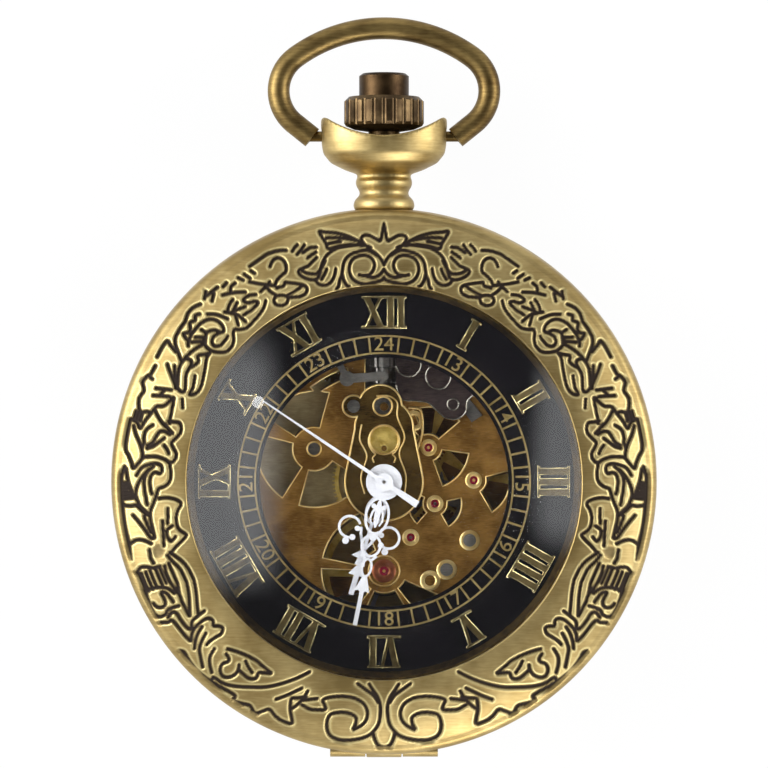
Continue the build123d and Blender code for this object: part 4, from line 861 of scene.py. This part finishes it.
def flat_curve(name, outlines, low, thickness, degrees):
    """Cuts flat outlines, holes included, from sheet, and lays them at an angle on the dial."""
    curve = bpy.data.curves.new(name, "CURVE")
    curve.dimensions = "2D"
    curve.fill_mode = "BOTH"
    curve.extrude = thickness / 2 * MM
    for outline in outlines:
        spline = curve.splines.new("POLY")
        spline.points.add(len(outline) - 1)
        for point, (x, y) in zip(spline.points, outline):
            point.co = (x * MM, y * MM, 0, 1)
        spline.use_cyclic_u = True
    placed(name, curve)
    bpy.ops.object.convert(target="MESH")
    made = bpy.context.object
    turned = Matrix.Rotation(-math.radians(degrees), 4, "Z")
    made.matrix_world = Matrix.Translation((0, 0, low + thickness / 2 * MM)) @ turned
    bpy.ops.object.transform_apply(location=True, rotation=True, scale=True)
    return made


def hoop(x, y, radius_x, radius_y, width):
    """A ring of flat wire: its outside and its hole."""
    hole = circle_points(x, y, radius_x - width, radius_y - width)
    return [circle_points(x, y, radius_x, radius_y), hole]


def joined(name, layers, low, thickness, degrees, body, node):
    """Joins overlapping flat shapes, each a little thicker than the last, into one hand."""
    made = []
    for index, layer in enumerate(layers):
        step = 0.003 * index
        made.append(flat_curve(f"{name}_{index}", layer, low - step * MM / 2, thickness + step, degrees))
    join_all(made)
    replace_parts(named(name, body, finish["white_hands"]), node)


def bead(x, y, radius):
    """A flat round spot."""
    return [circle_points(x, y, radius, count=20)]


def hub(radius, hole_r):
    """A hand's round boss with the hole for its arbor."""
    return [circle_points(0, 0, radius, count=48), circle_points(0, 0, hole_r, count=24)]


def minute_shape(length):
    """Outlines of the minute hand: lily in a long loop, round loop, bud, barb and pointer."""
    layers = [
        hub(1.43, 0.5),
        [circle_points(0, 0, 1.08, count=48), circle_points(0, 0, 0.94, count=48)],
        hoop(0, 2.75, 1.0, 1.5, 0.2),
        [circle_points(0, 2.55, 0.24, 1.15)],
        hoop(0, 5.15, 0.84, 0.95, 0.2),
        bead(0, 4.45, 0.3),
        hoop(0, 6.95, 0.46, 0.8, 0.19),
        [[(-0.16, 7.6), (-0.62, 8.95), (-0.3, 8.85), (0, 9.05), (0.3, 8.85), (0.62, 8.95), (0.16, 7.6)]],
        [strip_points([(0, 8.8), (0, length)], 0.34)],
    ]
    for side in (-1, 1):
        petal = [(side * 0.1, 1.9), (side * 0.42, 2.5), (side * 0.5, 3.05), (side * 0.3, 3.5)]
        layers += [[strip_points(petal, 0.2, 0.7)], bead(side * 0.42, 2.0, 0.2)]
        layers.append([strip_points([(side * 0.62, 5.9), (side * 0.2, 6.35)], 0.2)])
    return layers


def hour_shape(length):
    """Outlines of the hour hand: a stem with two side loops, their beads, a star and a barb."""
    layers = [
        hub(1.38, 0.82),
        hoop(0, 2.35, 0.82, 1.15, 0.2),
        [strip_points([(0, 3.3), (0, 6.2)], 0.26)],
        [[(0, 5.5), (-0.85, 6.25), (-0.3, 6.35), (-0.42, 6.9), (0.42, 6.9), (0.3, 6.35), (0.85, 6.25)]],
        [[(0, 6.6), (-0.68, 7.75), (0.68, 7.75)]],
        [strip_points([(0, 7.6), (0, length)], 0.42)],
    ]
    for side in (-1, 1):
        angles = [math.radians(degrees) for degrees in range(-150, 135, 15)]
        loop = [
            (side * (1.6 + 0.85 * math.cos(angle)), 4.15 + 0.85 * math.sin(angle)) for angle in angles]
        lead = [(0, 5.6), (side * 0.35, 5.0), (side * 0.6, 4.45), (side * 0.72, 3.9)]
        layers += [
            [strip_points(loop, 0.2)], bead(*loop[-1], 0.24), [strip_points(lead, 0.22)],
            bead(side * 1.62, 5.3, 0.27), bead(side * 0.98, 4.1, 0.22)]
    return layers


def hand_reach(node):
    """Degrees clockwise from twelve at which a CAD hand points, and its length."""
    places = np.array([vertex.co for vertex in nodes[node].data.vertices])
    far = places[np.argmax(np.hypot(places[:, 0], places[:, 1]))]
    return math.degrees(math.atan2(far[0], far[1])), math.hypot(far[0], far[1]) / MM


def seconds_shape(length):
    """The slim needle with its hub and its blunt tail."""
    return [
        [circle_points(0, 0, 0.72, count=40)],
        [[(-0.15, 0), (-0.06, length), (0.06, length), (0.15, 0)]],
        [[(-0.18, 0), (-0.3, -3.2), (0.3, -3.2), (0.18, 0)]],
    ]


def make_hands():
    """The three pierced hands, at the angles and lengths that the frame's hands have."""
    for name, node, body, shape, thickness in (
            ("pierced_hour_hand", "hour_hand", "hour", hour_shape, 0.14),
            ("pierced_minute_hand", "minute_hand", "centre", minute_shape, 0.14),
            ("slim_seconds_hand", "seconds_hand", "sweep_seconds", seconds_shape, 0.13)):
        angle, length = hand_reach(node)
        joined(name, shape(length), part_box(node)[0][2], thickness, angle, body, node)


make_hands()


# ---------------------------------------------------------------- movement details
def wire(name, runs, height, radius, body, material, closed=False, rounds=1):
    """Round wires along runs of (x, y) points in millimetres at one height in metres."""
    curve = bpy.data.curves.new(name, "CURVE")
    curve.dimensions = "3D"
    curve.bevel_depth = radius * MM
    curve.bevel_resolution = rounds
    curve.use_fill_caps = True
    for run in runs:
        spline = curve.splines.new("POLY")
        spline.points.add(len(run) - 1)
        for point, (x, y) in zip(spline.points, run):
            point.co = (x * MM, y * MM, height, 1)
        spline.use_cyclic_u = closed
    placed(name, curve)
    bpy.ops.object.convert(target="MESH")
    bpy.ops.object.shade_smooth()
    return named(name, body, material)


def main_level(mesh):
    """The height at which a node has most of its upward face."""
    levels = {}
    for face in mesh.polygons:
        if face.normal.z > 0.99:
            level = round(face.center.z / MM, 2)
            levels[level] = levels.get(level, 0) + face.area
    return max(levels, key=levels.get) * MM


def outline_edges(mesh, level):
    """The edges round the upward faces at one height, as pairs of points."""
    count, ends = {}, {}
    for face in mesh.polygons:
        if face.normal.z < 0.99 or abs(face.center.z - level) > 0.01 * MM:
            continue
        corners = [mesh.vertices[index].co for index in face.vertices]
        keys = [(round(corner.x / MM, 3), round(corner.y / MM, 3)) for corner in corners]
        for key, following in zip(keys, keys[1:] + keys[:1]):
            if key == following:
                continue
            edge = (key, following) if key < following else (following, key)
            count[edge] = count.get(edge, 0) + 1
            ends[edge] = (key, following)
    return [ends[edge] for edge in count if count[edge] == 1]


def loops_of(edges):
    """Chains edges that follow one another into closed loops."""
    following = {}
    for start, end in edges:
        following.setdefault(start, []).append(end)
    loops = []
    while following:
        start = next(iter(following))
        loop, here = [], start
        while here in following:
            loop.append(here)
            after = following[here].pop()
            if not following[here]:
                del following[here]
            here = after
        if len(loop) > 2:
            loops.append(loop)
    return loops


def thinned(loop, gap=0.04):
    """Drops points closer together than the gap."""
    kept = [loop[0]]
    for point in loop[1:]:
        if math.dist(point, kept[-1]) > gap:
            kept.append(point)
    return kept


def polished_edges(node, body, material, radius):
    """A polished round edge along every outline of a node's upper face."""
    mesh = nodes[node].data
    level = main_level(mesh)
    loops = [thinned(loop) for loop in loops_of(outline_edges(mesh, level))]
    loops = [loop for loop in loops if len(loop) > 3]
    wire(f"{node}_edges", loops, level - 0.2 * radius * MM, radius, body, material, closed=True)


def washer(name, spots, inner, outer, low, thickness, material):
    """Flat rings of one size at several places."""
    bevel = 0.25 * (outer - inner)
    top = low / MM + thickness
    profile = [
        (inner, low / MM), (inner, top - bevel / 2), (inner + bevel, top), (outer - bevel, top),
        (outer, top - bevel / 2), (outer, low / MM)]
    made = []
    for x, y in spots:
        ring = spun(name, profile, 36)
        ring.location = (x * MM, y * MM, 0)
        bpy.ops.object.transform_apply(location=True)
        bpy.ops.object.shade_smooth_by_angle(angle=math.radians(40))
        made.append(ring)
    join_all(made)
    named(name, "case", material)


def centre_of(node):
    """The middle of a node seen from above, in millimetres."""
    low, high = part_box(node)
    return ((low[0] + high[0]) / 2 / MM, (low[1] + high[1]) / 2 / MM)


def arc_run(x, y, radius, from_deg, to_deg, count=24):
    """Points along an arc, counted anticlockwise from the right."""
    angles = np.radians(np.linspace(from_deg, to_deg, count))
    return [(x + radius * math.cos(angle), y + radius * math.sin(angle)) for angle in angles]


def smooth(points):
    """A smooth run through a few points of a flat shape."""
    return [tuple(point) for point in smooth_run(points)]


def joint_place(name):
    """Where a joint is, in millimetres."""
    joint = next(joint for joint in frame["joints"] if joint["name"] == name)
    return [round(part / MM, 3) for part in joint["pos_m"]]


def movement_details():
    """Polished edges, ribs, the dial-side spring and the settings of jewels and screws."""
    bright = finish["bright_gilt"]
    polished_edges("main_plate", "case", bright, 0.075)
    polished_edges("hour_numerals", "case", finish["bright_figures"], 0.075)
    polished_edges("motion_bridge", "case", bright, 0.085)
    plate_top = main_level(nodes["main_plate"].data)
    bridge_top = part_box("motion_bridge")[1][2]
    left_rib = [(-1.5, -0.95), (-1.8, 0.4), (-1.35, 2.0), (-1.9, 3.3), (-1.75, 4.5)]
    right_rib = [
        (1.6, -0.95), (1.7, 0.5), (1.2, 2.2), (1.62, 3.5), (1.05, 5.1), (1.05, 6.2), (0.4, 6.75),
        (-0.6, 6.75)]
    ribs = [smooth(left_rib), smooth(right_rib), arc_run(0, 3.2, 1.22, -58, 238)]
    for side in (-1, 1):
        ribs.append(smooth([(side * 0.66, 2.15), (side * 0.9, 1.85), (side * 0.78, 1.5)]))
    wire("bridge_ribs", ribs, bridge_top, 0.065, "case", bright)
    spring = [
        (1.9, 5.75), (2.75, 5.65), (3.0, 4.9), (2.95, 3.7), (2.5, 2.3), (2.05, 1.5), (2.6, 0.85),
        (2.85, -0.3), (2.6, -1.4), (2.05, -2.0)]
    wire("dial_side_spring", [smooth(spring)], plate_top + 0.1 * MM, 0.11, "case", bright)
    jewels = [centre_of(node) for node in ("third_wheel", "fourth_wheel", "escape_wheel")]
    jewels.append(joint_place("fork_swing")[:2])
    washer("jewel_settings", jewels, 0.33, 0.66, plate_top, 0.06, bright)
    balance = centre_of("balance_wheel")
    washer("balance_setting", [balance], 0.36, 0.92, plate_top, 0.1, finish["copper"])
    ring = [arc_run(*balance, 1.22, 0, 350)]
    wire("balance_ring", ring, plate_top + 0.05 * MM, 0.07, "case", bright, closed=True)
    screws = [(6.7, -4.6), (4.9, -6.9), (2.3, 4.75), (3.6, -7.75)]
    washer("screw_cups", screws, 0.42, 0.8, plate_top, 0.09, bright)


def cover_plate():
    """The dark steel keeper over the winding works, with its bright edge and three round rims."""
    low = main_level(nodes["main_plate"].data) + 0.5 * MM
    thickness = 0.2
    inside = [
        (0.95, 7.6), (1.35, 6.5), (2.6, 6.35), (3.5, 6.2), (4.2, 5.55), (4.9, 5.0), (5.8, 4.95),
        (6.45, 5.5), (6.6, 6.4), (7.3, 6.9), (8.0, 6.75)]
    edge = smooth(inside)
    outline = edge + [clock_point(10.4, degrees) for degrees in range(50, 4, -3)]
    made = mesh_from("keeper_plate", [(x * MM, y * MM, low) for x, y in outline], (), [range(len(outline))])
    thickened(made, thickness)
    named("keeper_plate", "case", finish["dark_steel"])
    large_rims = [arc_run(1.95, 9.3, 1.0, -170, 60), arc_run(4.3, 8.3, 1.0, -180, 176)]
    rims = [edge] + large_rims + [arc_run(5.45, 6.1, 0.45, 0, 350)]
    top = low + thickness * MM - 0.01 * MM
    wire("keeper_rims", rims, top, 0.075, "case", finish["bright_steel"])


# ---------------------------------------------------------------- bow and pendant
bow_axis, stem_height = joint_place("bow_swing")[1:]
head_low = bow_axis - 3.25
ear_r = 5.45
head_sides = [(-0.5, 2.4), (0, 2.4), (0.35, 3.4), (0.95, 4.6), (1.75, 5.25), (2.85, ear_r), (5.0, ear_r)]
head_depth = 4.0 / ear_r     # the oval's depth as a share of its width
beyond_head = 6.0            # a radius that leaves the neck as it is


def worn_round(piece, cell, turns):
    """Rebuilds a merged solid on a grid of cells in millimetres and wears its edges round."""
    grid = piece.modifiers.new("grid", "REMESH")
    grid.mode = "VOXEL"
    grid.voxel_size = cell * MM
    wear = piece.modifiers.new("wear", "SMOOTH")
    wear.factor = 0.5
    wear.iterations = turns
    apply_all(piece)
    bpy.ops.object.shade_smooth()


def head_radius(height):
    """The head's radius at a height above its lowest edge, in millimetres."""
    for (low, low_r), (high, high_r) in zip(head_sides, head_sides[1:]):
        if low <= height <= high:
            return low_r + (high_r - low_r) * (height - low) / (high - low)
    return beyond_head


def pendant_head():
    """The pendant with an oval head and the soft edges of a polished casting."""
    source = nodes["pendant"].data
    points = [tuple(vertex.co) for vertex in source.vertices]
    faces = [tuple(face.vertices) for face in source.polygons]
    made = mesh_from("pendant_head", points, (), faces)
    bpy.ops.object.mode_set(mode="EDIT")
    bpy.ops.mesh.select_all(action="SELECT")
    bpy.ops.mesh.remove_doubles(threshold=weld)
    bpy.ops.object.mode_set(mode="OBJECT")
    worn_round(made, 0.13, 0)
    for vertex in made.data.vertices:
        radius = head_radius(vertex.co.y / MM - head_low)
        reach = head_depth * math.sqrt(max(radius ** 2 - (vertex.co.x / MM) ** 2, 0.0))
        rise = vertex.co.z / MM - stem_height
        vertex.co.z = (stem_height + max(-reach, min(reach, rise))) * MM
    worn_round(made, 0.11, 16)
    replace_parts(named("pendant_head", "case", finish["aged_brass"]), "pendant")


def bow_wire():
    """The stirrup of round wire, whose cut ends face the pendant, and its two pins."""
    # The bow takes the darker copy of the aged brass, which paints in shade.
    brass = finish["bow_brass_painted_shade"]
    height = stem_height * MM
    side_x, side_y, side_r = 5.5, bow_axis + 3.95, 3.6
    top_y = side_y - 7.5
    top_r = side_r + math.hypot(side_x, side_y - top_y)
    join = math.degrees(math.atan2(side_y - top_y, side_x))
    right = [(6.2, bow_axis - 0.1)] + arc_run(side_x, side_y, side_r, -50, join, 24)
    top = arc_run(0, top_y, top_r, join, 180 - join, 48)
    left = [(-x, y) for x, y in reversed(right)]
    route = right + top[1:-1] + left
    stirrup = wire("bow_wire", [route], height, 0.95, "bow", brass, rounds=8)
    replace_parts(stirrup, "bow")
    pins = [[(4.75 * side, bow_axis), (6.6 * side, bow_axis)] for side in (-1, 1)]
    wire("bow_pins", pins, height, 0.45, "bow", brass, rounds=3)


movement_details()
cover_plate()
pendant_head()
bow_wire()


# ---------------------------------------------------------------- floor, light and camera
def white_where_seen(shader):
    """Shows the surface plain white to the camera and in reflections, and keeps its shadow."""
    path = shader.node("ShaderNodeLightPath", {}, {}, "Is Camera Ray")
    glossy = shader.node("ShaderNodeLightPath", {}, {}, "Is Glossy Ray")
    through = shader.node("ShaderNodeLightPath", {}, {}, "Is Transmission Ray")
    glow = shader.node("ShaderNodeEmission", {}, {"Color": (1.0, 1.0, 1.0, 1.0), "Strength": 1.0})
    surface = Value(shader, shader.surface.outputs[0])
    share = path.most(glossy).most(through) * 0.96
    mixed = shader.node("ShaderNodeMixShader", {}, {0: share, 1: surface, 2: glow})
    shader.feed(shader.output.inputs["Surface"], mixed)


def studio_floor():
    """The plain pale floor that the watch lies on."""
    clear_selection()
    bpy.ops.mesh.primitive_plane_add(size=3.0, location=(0, 0, -0.00002))
    floor = bpy.context.object
    floor.name = "floor"
    shader = Shader("floor", Roughness=0.9)
    shader.set("Base Color", (0.9, 0.9, 0.9, 1.0))
    white_where_seen(shader)
    floor.data.materials.append(shader.material)


def soft_box(name, place, target, width, height, watts):
    """A soft oval lamp at a place, facing its target, in metres."""
    light = bpy.data.lights.new(name, "AREA")
    light.shape = "ELLIPSE"
    light.size, light.size_y = width, height
    light.energy = watts
    lamp = bpy.data.objects.new(name, light)
    lamp.location = place
    lamp.rotation_mode = "QUATERNION"
    lamp.rotation_quaternion = (Vector(target) - Vector(place)).to_track_quat("-Z", "Y")
    bpy.context.collection.objects.link(lamp)


def studio():
    """A dim room with a broad soft light on each side, given by the direction looked in."""
    sky = Sky("studio")
    across, along, up = sky.ways()
    left = sky.step(-1 * across, 0.4, 0.56) * sky.step(-1 * across, 0.97, 0.8)
    left = left * sky.step(along, -0.52, -0.3) * sky.step(along, 0.66, 0.4)
    right = sky.step(across, 0.58, 0.7) * sky.step(across, 0.97, 0.82)
    right = right * sky.step(along, -0.34, -0.16) * sky.step(along, 0.6, 0.4)
    low = sky.step(1 - up, 0.3, 0.75)
    sky.feed(sky.background.inputs["Strength"], 0.04 + 3.2 * left + 2.7 * right + 0.62 * low)
    sky.background.inputs["Color"].default_value = (0.96, 0.98, 1.0, 1.0)
    soft_box("left_box", (-0.85, 0.1, 0.42), (0, 0, 0), 0.5, 0.3, 6.0)
    soft_box("right_box", (0.85, 0.05, 0.4), (0, 0, 0), 0.5, 0.3, 4.0)
    soft_box("low_box", (0.3, -0.8, 0.42), (0, 0, 0), 0.5, 0.3, 6.0)
    soft_box("high_box", (-0.1, 0.9, 0.38), (0, 0, 0), 0.5, 0.3, 1.0)
    soft_box("spot_box", (-0.5, 0.3, 0.74), (0, 0.01, 0), 0.05, 0.05, 0.07)


def camera():
    """A long lens straight above the watch, whose picture is as wide as the frame at the rim."""
    low, high = cad_box
    frame_width = 65.2 * MM
    lens, sensor = 190.0, 36.0
    rim_height = 0.012
    aim = Vector((0, (low[1] + high[1]) / 2 + 0.0001, rim_height))
    distance = frame_width * lens / sensor
    data = bpy.data.cameras.new("camera")
    data.lens, data.sensor_width = lens, sensor
    data.clip_start, data.clip_end = 0.01, 10.0
    made = bpy.data.objects.new("camera", data)
    made.location = aim + Vector((0, 0, distance))
    bpy.context.collection.objects.link(made)
    bpy.context.scene.camera = made


studio_floor()
studio()
camera()
bpy.context.scene.view_settings.view_transform = "Standard"
